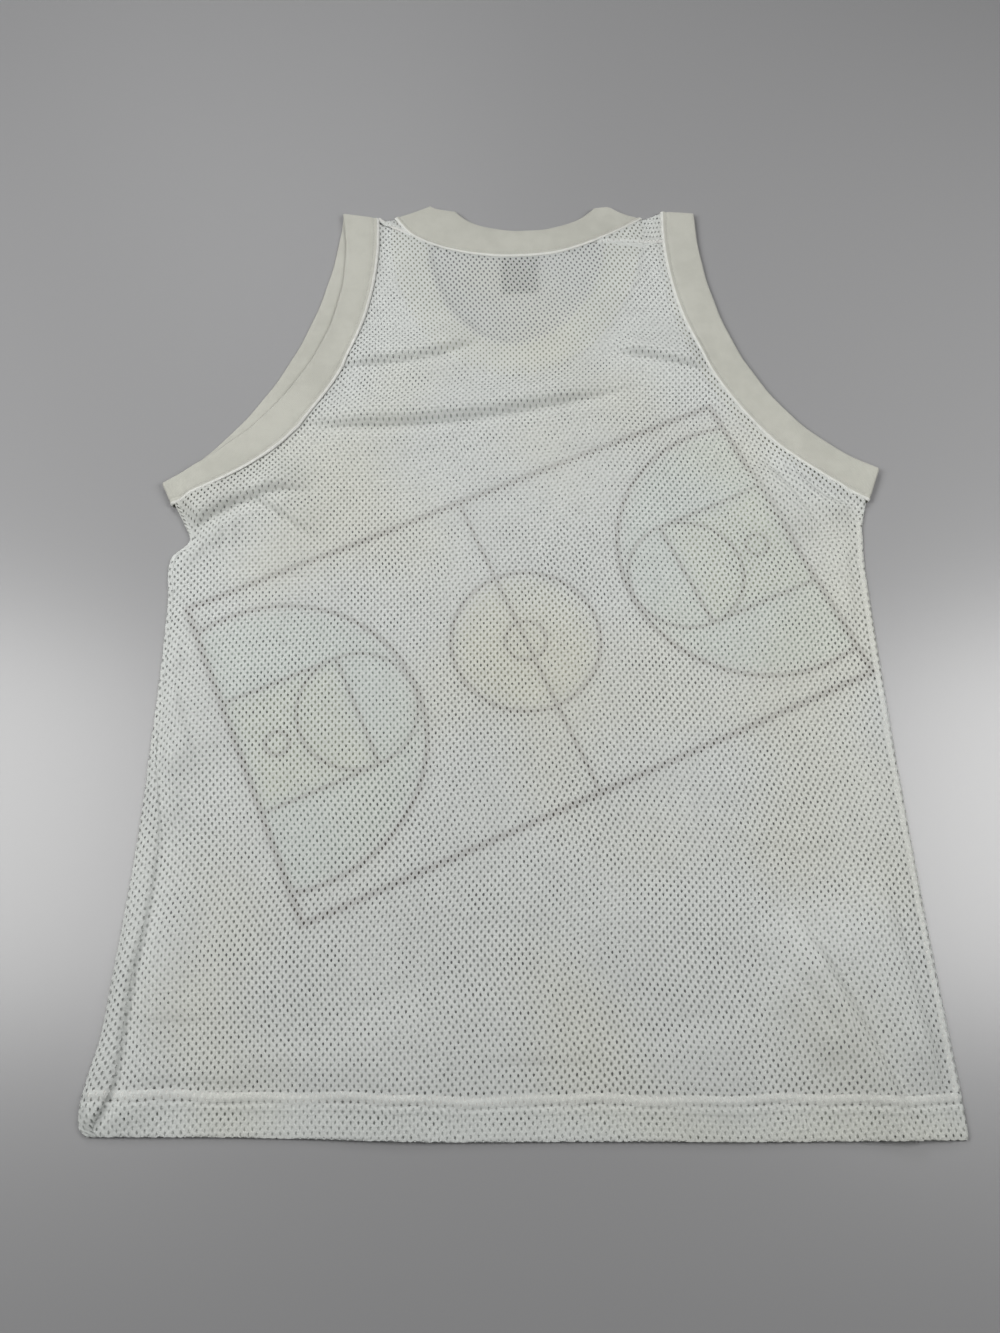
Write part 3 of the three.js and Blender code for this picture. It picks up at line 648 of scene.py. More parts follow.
# %% The two panels of mesh
def net_panel(name, outline, slant, place):
    """One panel of eyelet mesh, in an upper and a lower piece that share the row of holes between them."""
    flat, quads, rows, rims = eyelet_net(outline, slant)
    solid = laid(flat, rims, place)
    a, b, c, d = (solid[quads[:, k]] for k in range(4))
    area = np.linalg.norm(np.cross(c - a, d - b), axis=1) / 2
    quads, rows = quads[area > SLIVER], rows[area > SLIVER]
    normals = vertex_normals(solid, quads)
    middle = np.median(rows)
    halves = []
    for half, chosen in (("upper", rows > middle), ("lower", rows <= middle)):
        used, faces = np.unique(quads[chosen], return_inverse=True)
        piece = make_piece(f"{name}_{half}", solid[used], faces.reshape(-1, 4), flat[quads[chosen]],
                           name, normals[used])
        size = np.ptp(flat[used], axis=0)
        cut = chosen.sum() / 6 * EYELET_PITCH * EYELET_ROW  # six quads to a cell
        print("  flat", np.round(size), "mm, cut", round(cut / 1e6, 4), "m2")
        halves.append((piece, size, cut))
    return halves


back_halves = net_panel("back_panel", back_outline, BACK_SLANT, place_back)
front_halves = net_panel("front_panel", front_outline, FRONT_SLANT, place_front)

# %% [markdown]
# ## Bands of double knit
# Each opening is bound with a doubled band, sewn into a ring. Pressed flat, it runs along the back, turns
# over at the shoulder or the underarm, and comes back along the front. A Curve with a bevel would twist
# at the turns, so the ring is a loft: one section of the band is carried along the two edge curves. In
# the section the seam stands up in a soft ridge, then comes the groove of the topstitching, then the flat
# band and its rolled edge.

# %% The section of a band
BAND_STATIONS, BAND_TURN_STEPS = 170, 8
OUTER_HEIGHT, INNER_HEIGHT = 0.79, -0.7  # of the flat part, over the middle of the cloth
INTO_NECK_BAND = 0.6  # how far the back band sinks inside the front neck
EDGE_WAVE = 0.2  # the free edge is never cut quite even
ON_TABLE = 0.05  # nothing lies lower
RIDGE, GROOVE = 2.7, 5.5  # mm in from the seam edge
# the outer side, as distances in from the seam edge and heights over the middle of the cloth
NEAR_SEAM = [(0, -0.2), (0.5, 0.35), (1.4, 0.85), (RIDGE, 1.05), (3.9, 0.95), (4.7, 0.55), (GROOVE, 0.34),
             (6.1, 0.5), (7.2, 0.78)]
BETWEEN = [0.2, 0.4, 0.52, 0.62, 0.72, 0.86]  # shares of the flat part from there to NEAR_FREE
# the same in from the free edge, back to the seam along the inner side
NEAR_FREE = [(9, 0.8), (4.5, 0.82), (1.7, 0.86), (0.6, 0.62), (0, 0.1), (0.25, -0.4), (1.2, -0.68),
             (5, -0.72)]
INNER = [(4, -0.66), (0.8, -0.5)]


def section(width):
    """Distances in from the seam edge and heights over the middle, once round a band of this width."""
    start = NEAR_SEAM[-1][0]
    flat_run = width - start - NEAR_FREE[0][0]
    outer = [(start + share * flat_run, OUTER_HEIGHT) for share in BETWEEN]
    inner = [(place, INNER_HEIGHT) for place, _ in outer[::-1]]
    return np.array(NEAR_SEAM + outer + [(width - p, h) for p, h in NEAR_FREE] + inner + INNER).T

# %% A ring of band
TURN_RUN = 0.1 * math.pi  # what each step of a turn adds to the band's run


def band_mid(x, y):
    """The middle of a band's cloth in the upper layer."""
    high = y > SCOOP_FROM
    hollow = np.zeros(x.shape)
    hollow[high] = inside(scoop, x[high], y[high]) * smoothstep(0, 14, nearest(scoop, x[high], y[high])[0])
    return BAND_WALL + LAYER_GAP + lift(x, y) - INTO_NECK_BAND * hollow + BAND_WALL / 2


def band_ring(rows, ends, crowns):
    """Stations round a folded band: seam edge, free edge, rise, crown and the way that its outside faces."""
    seam = {face: curve(rows[face + "_seam"], BAND_STATIONS) for face in ("back", "front")}
    free = {face: curve(rows[face + "_free"], BAND_STATIONS) for face in ("back", "front")}
    radius = (BAND_WALL + LAYER_GAP) / 2
    stations = []

    def station(face, index, angle):
        which = 0 if index < BAND_STATIONS / 2 else 1
        end, crown = ends[which], crowns[which]
        faded = np.multiply(end, abs(2 * index / BAND_STATIONS - 1) ** 9)
        onward = np.multiply(end, radius * math.sin(angle))
        stations.append((seam[face][index] + onward, free[face][index] + onward, faded, crown,
                         (end[0] * math.sin(angle), end[1] * math.sin(angle), math.cos(angle))))

    # along the back, over the turn, back along the front and over the other turn
    for index in range(BAND_STATIONS + 1):
        station("back", index, 0)
    for step in range(1, BAND_TURN_STEPS):
        station("back", BAND_STATIONS, math.pi * step / BAND_TURN_STEPS)
    for index in range(BAND_STATIONS, -1, -1):
        station("front", index, math.pi)
    for step in range(BAND_TURN_STEPS - 1, 0, -1):
        station("back", 0, math.pi * step / BAND_TURN_STEPS)
    return stations


def band(name, rows, ends, crowns, node):
    """A folded ring of double knit, with the run and the mean width that it is cut to."""
    points, flat = [], []
    run, last = 0.0, None
    stations = band_ring(rows, ends, crowns)
    for seam, free, rise, crown, outward in stations + stations[:1]:
        width = np.linalg.norm(free - seam)
        inward, over = section(width)
        share = inward[:, None] / width
        upper = (1 + outward[2]) / 2
        if last is not None:
            run += float(math.dist(seam + free, last)) / 2 + TURN_RUN * (0 < upper < 1)
        last = seam + free
        ground = seam + share * (free - seam) + np.interp(share, *np.transpose(crown)) * rise
        ground += EDGE_WAVE * share**4 * (free - seam) / width * math.sin(run / 7.3) * abs(outward[2])
        middle = band_mid(*ground.T) * upper + BAND_WALL / 2 * (1 - upper)
        solid = np.column_stack([ground, middle]) + over[:, None] * np.array(outward)
        solid[:, 2] = np.maximum(solid[:, 2], ON_TABLE)
        round_section = np.diff(np.column_stack([inward, over]), axis=0, append=[NEAR_SEAM[0]])
        girth = np.cumsum(np.hypot(*round_section.T))
        points.append(solid)
        flat.append(np.column_stack([np.full(len(over) + 1, run), np.append(0, girth)]))
    points, flat = np.array(points[:-1]), np.array(flat)
    number = np.arange(points.shape[0] * points.shape[1]).reshape(points.shape[:2])
    ahead, across = np.roll(number, -1, 0), np.roll(number, -1, 1)
    faces = [number, ahead, np.roll(ahead, -1, 1), across]
    unfolded = [flat[:-1, :-1], flat[1:, :-1], flat[1:, 1:], flat[:-1, 1:]]
    # the faces have to look outwards, whichever way round the band runs
    along, inwards = points[2, 0] - points[1, 0], points[1, 6] - points[1, 0]
    if along[0] * inwards[1] < along[1] * inwards[0]:
        faces, unfolded = faces[::-1], unfolded[::-1]
    faces = np.stack(faces, -1).reshape(-1, 4)
    piece = make_piece(name, points.reshape(-1, 3), faces, np.stack(unfolded, 2), node)
    width = float(np.mean([np.linalg.norm(free - seam) for seam, free, *_ in stations]))
    print("  flat", round(run), "x", round(width, 1), "mm")
    return piece, run, width

# %% The three bands
neck_band = band("neck_binding_knit", NECK, [(0, 1), (0, 1)], NECK_CROWNS, "neck_binding")
arm_bands = {
    name: band(f"armhole_binding_{name}_knit", ARMHOLES[name], [(0, 1), (out * 0.9, -0.436)],
               [LEVEL, LEVEL], f"armhole_binding_{name}")
    for name, out in (("left", -1), ("right", 1))
}

# %% [markdown]
# ## Overlocked edges
# Inside the seams lie the raw edges, bound together by overlocking: close threads over a strip 3 to 6 mm
# wide. It closes the holes of the mesh over it, so a seam shows from outside as a pale, solid line. Such
# a strip could be a stripe in the mesh's material, but it has to close real holes. So each is a ribbon
# laid just under the upper layer, or just over the lower one, with the scalloped edges of its loops.

# %% Ribbons of overlocking
OVERLOCK = {"hem": 6.0, "side": 3.6, "shoulder": 3.0}  # widths
RIBBON_STEP = 1.6  # from loop to loop
SCALLOP, CREST = 0.22, 0.22  # how far the loops stick out, and their height
OFF_CLOTH = 0.42  # from the middle of the mesh to the ribbon
MAP_ROW = 8  # mm from one ribbon to the next on the UV map


def ribbon(name, runs):
    """One piece of all runs: path in x and y, the side it lies on (1 is left of its way), height, width."""
    points, faces, flat = [], [], []
    count = 0
    shares = np.array([0, 0.12, 0.35, 0.65, 0.88, 1])
    for number, (path, way, height, wide) in enumerate(runs):
        run = run_along(path)
        steps = np.arange(0, run[-1], RIBBON_STEP)
        line = np.column_stack([np.interp(steps, run, path[:, k]) for k in (0, 1)])
        aside = way * leftward(line)
        scallop = SCALLOP * np.where(np.arange(len(steps)) % 2, 1, -1)
        reach = shares[None, :] * wide + scallop[:, None] * (shares > 0.9)
        ground = line[:, None, :] + aside[:, None, :] * reach[..., None]
        x, y = ground[..., 0], ground[..., 1]
        z = height(x, y) + CREST * np.sin(math.pi * shares)[None, :]
        points.append(np.stack([x, hung_askew(x, y), z], -1).reshape(-1, 3))
        grid = np.arange(x.size).reshape(x.shape) + count
        quads = np.stack([grid[:-1, :-1], grid[1:, :-1], grid[1:, 1:], grid[:-1, 1:]], -1)
        quads = quads[..., ::-1] if way > 0 else quads
        faces.append(quads.reshape(-1, 4))
        spread = np.broadcast_arrays(steps[:, None], shares * wide + MAP_ROW * number)
        flat.append(np.stack(spread, -1).reshape(-1, 2))
        count += x.size
    faces = np.vstack(faces)
    return make_piece(name, np.vstack(points), faces, np.vstack(flat)[faces], None)

# %% Where the edges are overlocked
SIDE_SEAM_IN = 5.2  # from the right fold to the side seam's ribbon


def under_upper(x, y):
    return upper_mid(x, y) - OFF_CLOTH


def over_lower(x, y):
    return lower_mid(x, y) + OFF_CLOTH


def hem_path(start, end):
    x = np.linspace(start, end, 300)
    return np.column_stack([x, hem_stitch_y(x) + 0.6])


side_y_path = np.linspace(-366, 62, 240)
right_path = np.column_stack([side(RIGHT, side_y_path) - SIDE_SEAM_IN, side_y_path])[::-1]
shoulder_paths = {name: np.linspace(*np.array(ends, float), 60) for name, ends in SHOULDER_SEAMS.items()}
overlocked = ribbon("overlocked_edges", [
    (hem_path(-288, 286), 1, under_upper, OVERLOCK["hem"]),
    (hem_path(-289, 287), 1, over_lower, OVERLOCK["hem"]),
    (right_path, 1, under_upper, OVERLOCK["side"]),
    (shoulder_paths["left"], 1, under_upper, OVERLOCK["shoulder"]),
    (shoulder_paths["right"][::-1], 1, under_upper, OVERLOCK["shoulder"]),
])

# %% [markdown]
# ## The label
# A small dark woven label hangs from the neck seam inside the back, and one sees it through the mesh. A
# single plane would do for the look from above; it is a thin slab with rounded lower corners and pressed
# edges, made as a grid so that it can bend a little, and it lies on the table between the layers.

# %% Neck label
LABEL_COLUMNS, LABEL_ROWS = 22, 26
LABEL_CORNER = 2.2  # radius of its lower corners
LABEL_LIES, LABEL_HALF_THICK, LABEL_EDGE = 0.85, 0.28, 0.04


def label_piece():
    """A slab on a grid: its upper face, its under face and the rim between them."""
    width, height = LABEL_SIZE
    u, v = np.meshgrid(np.linspace(-1, 1, LABEL_COLUMNS + 1), np.linspace(0, 1, LABEL_ROWS + 1))
    corner = LABEL_CORNER
    pulled = np.sqrt(np.clip(1 - np.clip((corner - v * height) / corner, 0, 1) ** 2, 0, 1))
    x = LABEL_X + u * (width / 2 - corner * (1 - pulled) * (v * height < corner))
    y = LABEL_TOP - height + v * height
    # a slow bend, and a small ridge where its top is sewn in
    middle = LABEL_LIES + 0.12 * np.sin(u * 2.4 + 0.6) * (1 - v) + 0.1 * bump(v, 0.96, 0.03)
    from_edge = np.minimum(1 - np.abs(u), np.minimum(v, 1 - v) * 1.3)
    thick = LABEL_HALF_THICK * np.minimum(1, 4.5 * from_edge) ** 0.5 + LABEL_EDGE
    top, under = np.stack([x, y, middle + thick], -1), np.stack([x, y, middle - thick], -1)
    points = np.vstack([top.reshape(-1, 3), under.reshape(-1, 3)])
    number = np.arange(u.size).reshape(u.shape)
    grid = np.stack([number[:-1, :-1], number[:-1, 1:], number[1:, 1:], number[1:, :-1]], -1)
    grid = grid.reshape(-1, 4)
    rim = np.concatenate([number[0, :-1], number[:-1, -1], number[-1, :0:-1], number[:0:-1, 0]])
    ahead = np.roll(rim, -1)
    edge = np.stack([rim + u.size, ahead + u.size, ahead, rim], -1)
    faces = np.vstack([grid, grid[:, ::-1] + u.size, edge])
    flat = np.stack([u * width / 2, v * height], -1).reshape(-1, 2)
    flat = np.vstack([flat, flat + (width + 4, 0)])[faces]
    # on the UV map each bit of the rim has its own small place above the two faces
    beside = np.arange(len(edge))[:, None, None] * (0.5, 0)
    flat[-len(edge):] = np.array([(0, 44), (0.4, 44), (0.4, 43), (0, 43)]) + beside
    return make_piece("neck_label_cloth", points, faces, flat, "neck_label")


neck_label = label_piece()

# %% [markdown]
# ## Stitching
# The hem is held by one row of straight stitches, and each band by a row in the groove beside its seam. A
# dashed line in the material would stay flat in a close view. Every stitch is a short thread, thick in
# the middle and drawn into the cloth at both ends, and the whole row is one mesh.

# %% Rows of stitches
STITCH, STITCH_GAP, THREAD = 2.9, 0.55, 0.3
RINGS = np.array([0, 0.18, 0.5, 0.82, 1])  # places along a stitch
THICKNESS = np.array([0.25, 0.85, 1, 0.85, 0.25])  # there, as shares of the thread's
STANDS = np.array([-0.25, 0.02, 0.14, 0.02, -0.25])  # and how high it stands over the cloth
ROUND = 4  # corners of a ring
STITCH_POINTS = ROUND * len(RINGS)


def stitch_row(path, outward, shift=0.0):
    """Points and faces of stitches along a path. outward is the way that the cloth's outside faces."""
    run, outward = run_along(path), np.array(outward)
    starts = np.arange(shift, run[-1] - STITCH, STITCH + STITCH_GAP)
    points, faces = [], []
    for start in starts:
        length = STITCH * rng.uniform(0.92, 1.04)
        where = start + length * RINGS
        middle = np.column_stack([np.interp(where, run, path[:, k]) for k in range(3)])
        along = middle[-1] - middle[0]
        sideways = np.cross(outward, along)
        sideways /= np.linalg.norm(sideways)
        thick = THREAD * THICKNESS[:, None]
        raised = STANDS[:, None] * outward
        first = len(points) * STITCH_POINTS
        around = [sideways * math.cos(a) + outward * math.sin(a)
                  for a in (0, math.pi / 2, math.pi, 1.5 * math.pi)]
        rings = np.stack([middle + raised + thick / 2 * way for way in around], 1)
        points.append(rings.reshape(-1, 3))
        for ring in range(len(RINGS) - 1):
            here, ahead = first + ROUND * ring, first + ROUND * (ring + 1)
            for m in range(ROUND):
                n = (m + 1) % ROUND
                faces.append([here + m, here + n, ahead + n, ahead + m])
    return np.vstack(points), np.array(faces)


def stitching(name, rows):
    """One piece of all the rows. Each stitch has its own small place on the UV map."""
    points = np.vstack([p for p, _ in rows])
    ahead = np.cumsum([0] + [len(p) for p, _ in rows])
    faces = np.vstack([f + start for (_, f), start in zip(rows, ahead)])
    stitch, local = np.divmod(faces, STITCH_POINTS)
    across = int(math.sqrt(len(points) / STITCH_POINTS)) + 1
    ring, corner = np.divmod(local, ROUND)
    closing = (corner == 0) & (local.max(1, keepdims=True) % ROUND == ROUND - 1)
    corner = np.where(closing, ROUND, corner)
    flat = np.stack([stitch % across + ring * 0.2, stitch // across + corner * 0.2], -1)
    return make_piece(name, points, faces, flat, None)

# %% The hem's stitches, on its upper side and its under side
hem_x = np.linspace(-287, 286, 500)
hem_y = hem_stitch_y(hem_x) - 0.4
hem_top = np.column_stack([hem_x, hung_askew(hem_x, hem_y), upper_mid(hem_x, hem_y) + 0.05])
hem_under = np.column_stack([hem_x, hung_askew(hem_x, hem_y), np.full(hem_x.shape, 0.38)])
hem_stitches = stitching("hem_stitching", [stitch_row(hem_top, (0, 0, 1)),
                                           stitch_row(hem_under, (0, 0, -1), 1.1)])

# %% Topstitching of the bands
IN_GROOVE = 0.46  # from the middle of the band's cloth to the middle of the thread


def groove_rows(rows):
    """The topstitching of a band, in its groove, on the back and on the front."""
    made = []
    for face, outward in (("back", 1.0), ("front", -1.0)):
        seam, free = curve(rows[face + "_seam"], 200), curve(rows[face + "_free"], 200)
        inward = (free - seam) / np.linalg.norm(free - seam, axis=1)[:, None]
        ground = seam + GROOVE * inward
        if outward > 0:
            height = band_mid(*ground.T) + IN_GROOVE
        else:
            height = np.full(len(ground), BAND_WALL / 2 - IN_GROOVE)
        made.append(stitch_row(np.column_stack([ground, height])[2:-2], (0, 0, outward)))
    return made


neck_stitches = stitching("neck_binding_stitching", groove_rows(NECK))
arm_stitches = {
    name: stitching(f"armhole_binding_{name}_stitching", groove_rows(rows))
    for name, rows in ARMHOLES.items()
}

# %% [markdown]
# ## Finishes
# Undyed polyester is nearly white, matt, and lets light through, so a second shader, Translucent, is
# mixed under the usual one: what lies below the mesh then tints it. Effects that several cloths share are
# node groups: the rows of stitches of a knit, and the slow, faint unevenness of washed cloth.

# %% Node helpers
def node(tree, kind, inputs=None, **settings):
    """A new node. Its inputs are sockets to link or plain values."""
    made = tree.nodes.new(kind)
    for key, value in settings.items():
        setattr(made, key, value)
    for key, value in (inputs or {}).items():
        if isinstance(value, bpy.types.NodeSocket):
            tree.links.new(value, made.inputs[key])
        else:
            made.inputs[key].default_value = value
    return made


def maths(tree, operation, *values):
    return node(tree, "ShaderNodeMath", dict(enumerate(values)), operation=operation).outputs[0]


def noise(tree, place, scale, detail):
    inputs = {"Vector": place, "Scale": scale, "Detail": detail}
    return node(tree, "ShaderNodeTexNoise", inputs).outputs[0]


def soft_step(tree, value, start, end, low=0.0, high=1.0):
    """low before start, high after end and a smooth change between."""
    inputs = {"Value": value, "From Min": start, "From Max": end, "To Min": low, "To Max": high}
    return node(tree, "ShaderNodeMapRange", inputs, interpolation_type="SMOOTHSTEP").outputs["Result"]


def blended(tree, share, first, second, blend="MIX"):
    made = node(tree, "ShaderNodeMix", data_type="RGBA", blend_type=blend)
    for socket, value in ((made.inputs[0], share), (made.inputs[6], first), (made.inputs[7], second)):
        if isinstance(value, bpy.types.NodeSocket):
            tree.links.new(value, socket)
        else:
            socket.default_value = value
    return made.outputs[2]


def group(name, inputs, outputs):
    """A node group with named sockets. inputs is name to (kind, value) and outputs is name to kind."""
    tree = bpy.data.node_groups.new(name, "ShaderNodeTree")
    for key, (kind, value) in inputs.items():
        socket = tree.interface.new_socket(key, in_out="INPUT", socket_type=kind)
        if value is not None:
            socket.default_value = value
    for key, kind in outputs.items():
        tree.interface.new_socket(key, in_out="OUTPUT", socket_type=kind)
    return tree, tree.nodes.new("NodeGroupInput").outputs, tree.nodes.new("NodeGroupOutput").inputs


def placed(tree, made, inputs):
    """The group as a node of a material."""
    return node(tree, "ShaderNodeGroup", inputs, node_tree=made).outputs

# %% Group: stitches of a knit
def knit_stitches():
    tree, given, result = group(
        "knit stitches",
        {"Vector": ("NodeSocketVector", None), "Wale": ("NodeSocketFloat", 1.0),
         "Course": ("NodeSocketFloat", 1.0)},
        {"Height": "NodeSocketFloat", "Shade": "NodeSocketFloat"})
    parts = node(tree, "ShaderNodeSeparateXYZ", {0: given["Vector"]}).outputs
    turn = 2 * math.pi
    across = maths(tree, "MULTIPLY", maths(tree, "DIVIDE", parts["X"], given["Wale"]), turn)
    along = maths(tree, "MULTIPLY", maths(tree, "DIVIDE", parts["Y"], given["Course"]), turn)
    # each loop of a knit is a V: the course leans one way on one side of the wale and back on the other
    wale = maths(tree, "ABSOLUTE", maths(tree, "SINE", maths(tree, "MULTIPLY", across, 0.5)))
    loop = maths(tree, "SINE", maths(tree, "ADD", along, maths(tree, "MULTIPLY", wale, 2.4)))
    fuzz = noise(tree, given["Vector"], 2.1, 3.0)
    height = maths(tree, "ADD", maths(tree, "MULTIPLY", loop, 0.35), maths(tree, "ADD", wale, fuzz))
    tree.links.new(height, result["Height"])
    # Shade is 0 in the knit's hollows and 1 on its loops: the materials use it for painted shade in the
    # hollows
    tree.links.new(soft_step(tree, height, 0.2, 1.9), result["Shade"])
    return tree

# %% Group: unevenness of washed cloth
def washed_cloth():
    tree, given, result = group("washed cloth", {"Vector": ("NodeSocketVector", None)},
                                {"Tone": "NodeSocketFloat", "Warmth": "NodeSocketFloat"})
    slow = noise(tree, given["Vector"], 0.011, 3.0)
    fine = noise(tree, given["Vector"], 0.09, 4.0)
    tone = maths(tree, "ADD", maths(tree, "MULTIPLY", slow, 0.6), maths(tree, "MULTIPLY", fine, 0.4))
    tree.links.new(soft_step(tree, tone, 0.35, 0.65), result["Tone"])
    patches = noise(tree, given["Vector"], 0.006, 1.0)
    tree.links.new(soft_step(tree, patches, 0.42, 0.7), result["Warmth"])
    return tree


knit, washed = knit_stitches(), washed_cloth()
print("groups:", [made.name for made in bpy.data.node_groups])

# %% [markdown]
# ## The print on the front
# The front carries a large, pale line print, seen mostly as darker specks through the holes of the back.
# Here it is a ball court drawn from above in plain lines, set aslant, with a pale tint in its circles and
# lanes. It could be painted or projected from a picture; as arithmetic on the place on the cloth it stays
# sharp and needs no file.

# %% Group: the line print
COURT_CENTRE, COURT_SLANT = (4.0, -42.0), 24.0
COURT_HALF = (232.0, 132.0)
LANE_HALF, LANE_FROM, THROW_RADIUS = 46.0, 140.0, 46.0
HOOP_AT, HOOP_RADIUS, ARC_RADIUS = 204.0, 9.0, 112.0
CENTRE_RADIUS, TIP_OFF_RADIUS = 58.0, 16.0
THIN, PLAIN, WIDE, BORDER = 1.4, 1.6, 1.9, 2.6  # half widths of the lines
LINE_EDGE = 0.5  # over which a line fades into the cloth
TINT_EDGE = (-14.0, 6.0)  # the same for a tint, from inside its outline to outside


def court_print():
    tree, given, result = group(
        "court lines", {"Vector": ("NodeSocketVector", None)},
        {"Line": "NodeSocketFloat", "Green": "NodeSocketFloat", "Yellow": "NodeSocketFloat"})
    turned_to = node(tree, "ShaderNodeMapping", {
        "Vector": given["Vector"], "Location": (*COURT_CENTRE, 0),
        "Rotation": (0, 0, math.radians(COURT_SLANT))}, vector_type="TEXTURE").outputs[0]
    parts = node(tree, "ShaderNodeSeparateXYZ", {0: turned_to}).outputs
    u, v = maths(tree, "ABSOLUTE", parts["X"]), maths(tree, "ABSOLUTE", parts["Y"])

    def rectangle(centre, half_u, half_v):
        aside = maths(tree, "ABSOLUTE", maths(tree, "SUBTRACT", u, centre))
        aside, above = maths(tree, "SUBTRACT", aside, half_u), maths(tree, "SUBTRACT", v, half_v)
        return maths(tree, "MAXIMUM", aside, above)

    def circle(centre, radius):
        aside = maths(tree, "SUBTRACT", u, centre)
        squares = maths(tree, "ADD", maths(tree, "MULTIPLY", aside, aside), maths(tree, "MULTIPLY", v, v))
        return maths(tree, "SUBTRACT", maths(tree, "SQRT", squares), radius)

    def drawn(distance, half_width):
        off = maths(tree, "ABSOLUTE", distance)
        return soft_step(tree, off, half_width - LINE_EDGE, half_width + LINE_EDGE, 1.0, 0.0)

    border = rectangle(0.0, *COURT_HALF)
    lane = rectangle((LANE_FROM + COURT_HALF[0]) / 2, (COURT_HALF[0] - LANE_FROM) / 2, LANE_HALF)
    centre, arc = circle(0.0, CENTRE_RADIUS), circle(HOOP_AT, ARC_RADIUS)
    lines = [drawn(lane, PLAIN), drawn(centre, PLAIN), drawn(circle(0.0, TIP_OFF_RADIUS), THIN),
             drawn(u, PLAIN), drawn(arc, WIDE), drawn(circle(LANE_FROM, THROW_RADIUS), THIN),
             drawn(circle(HOOP_AT, HOOP_RADIUS), PLAIN)]
    total = lines[0]
    for line in lines[1:]:
        total = maths(tree, "MAXIMUM", total, line)
    within = soft_step(tree, border, -LINE_EDGE, LINE_EDGE, 1.0, 0.0)
    total = maths(tree, "MAXIMUM", maths(tree, "MULTIPLY", total, within), drawn(border, BORDER))
    tree.links.new(total, result["Line"])
    for name, shape in (("Green", arc), ("Yellow", maths(tree, "MINIMUM", centre, lane))):
        tint = soft_step(tree, shape, *TINT_EDGE, 1.0, 0.0)
        tree.links.new(maths(tree, "MULTIPLY", within, tint), result[name])
    return tree


court = court_print()
print(court.name, "takes", len(court.nodes), "nodes")

# %% Places for the groups, and a bare material
MM_PER_METRE = 1000.0


def scaled(tree, vector, scale):
    return node(tree, "ShaderNodeVectorMath", {0: vector, "Scale": scale}, operation="SCALE").outputs[0]


def cloth_vector(tree):
    """The place on the piece in mm."""
    return scaled(tree, tree.nodes.new("ShaderNodeTexCoord").outputs["Object"], MM_PER_METRE)


def new_material(name):
    made = bpy.data.materials.new(name)
    made.use_nodes = True
    made.node_tree.nodes.clear()
    return made, made.node_tree

# %% [markdown]
# ## White eyelet mesh
# The yarn is white with a trace of cream, a little uneven after many washes. A picture of cloth could
# carry that, but it would repeat over a panel as big as this. So the colour is mixed from slow noise, the
# stitches raise it and darken its hollows a little (painted shade), and the print comes last. Both panels
# share one recipe: the front takes the print strongly, and the back a faint copy of it, painted show-through
# of the front's print that lies beneath it.

# %% Material: mesh
LET_THROUGH = 0.46  # share of translucency


def mesh_material(name, printed):
    """White eyelet mesh. printed is how strongly the print shows."""
    made, tree = new_material(name)
    place = cloth_vector(tree)
    tone = placed(tree, washed, {"Vector": place})
    grain = placed(tree, knit, {"Vector": place, "Wale": 0.62, "Course": 0.8})
    pale, paler = (0.865, 0.88, 0.865, 1), (0.895, 0.91, 0.895, 1)
    colour = blended(tree, tone["Tone"], pale, paler)
    colour = blended(tree, maths(tree, "MULTIPLY", tone["Warmth"], 0.4), colour, (0.87, 0.865, 0.79, 1))
    # painted shade: the knit's hollows are painted a little darker
    shaded = blended(tree, grain["Shade"], (0.93, 0.93, 0.93, 1), (1, 1, 1, 1))
    colour = blended(tree, 1.0, colour, shaded, "MULTIPLY")
    inks = placed(tree, court, {"Vector": place})
    for ink, share, shade in (("Green", 0.5, (0.66, 0.80, 0.72, 1)),
                              ("Yellow", 0.5, (0.84, 0.82, 0.62, 1)),
                              ("Line", 1.0, (0.17, 0.125, 0.11, 1))):
        colour = blended(tree, maths(tree, "MULTIPLY", inks[ink], share * printed), colour, shade)
    bumped = node(tree, "ShaderNodeBump", {"Height": grain["Height"], "Strength": 0.35, "Distance": 0.0002})
    surface = node(tree, "ShaderNodeBsdfPrincipled", {
        "Base Color": colour, "Roughness": 0.78, "Specular IOR Level": 0.3, "Sheen Weight": 0.12,
        "Sheen Roughness": 0.5, "Normal": bumped.outputs[0]})
    through = node(tree, "ShaderNodeBsdfTranslucent", {"Color": colour})
    mixed = node(tree, "ShaderNodeMixShader", {0: LET_THROUGH, 1: surface.outputs[0], 2: through.outputs[0]})
    node(tree, "ShaderNodeOutputMaterial", {0: mixed.outputs[0]})
    return made
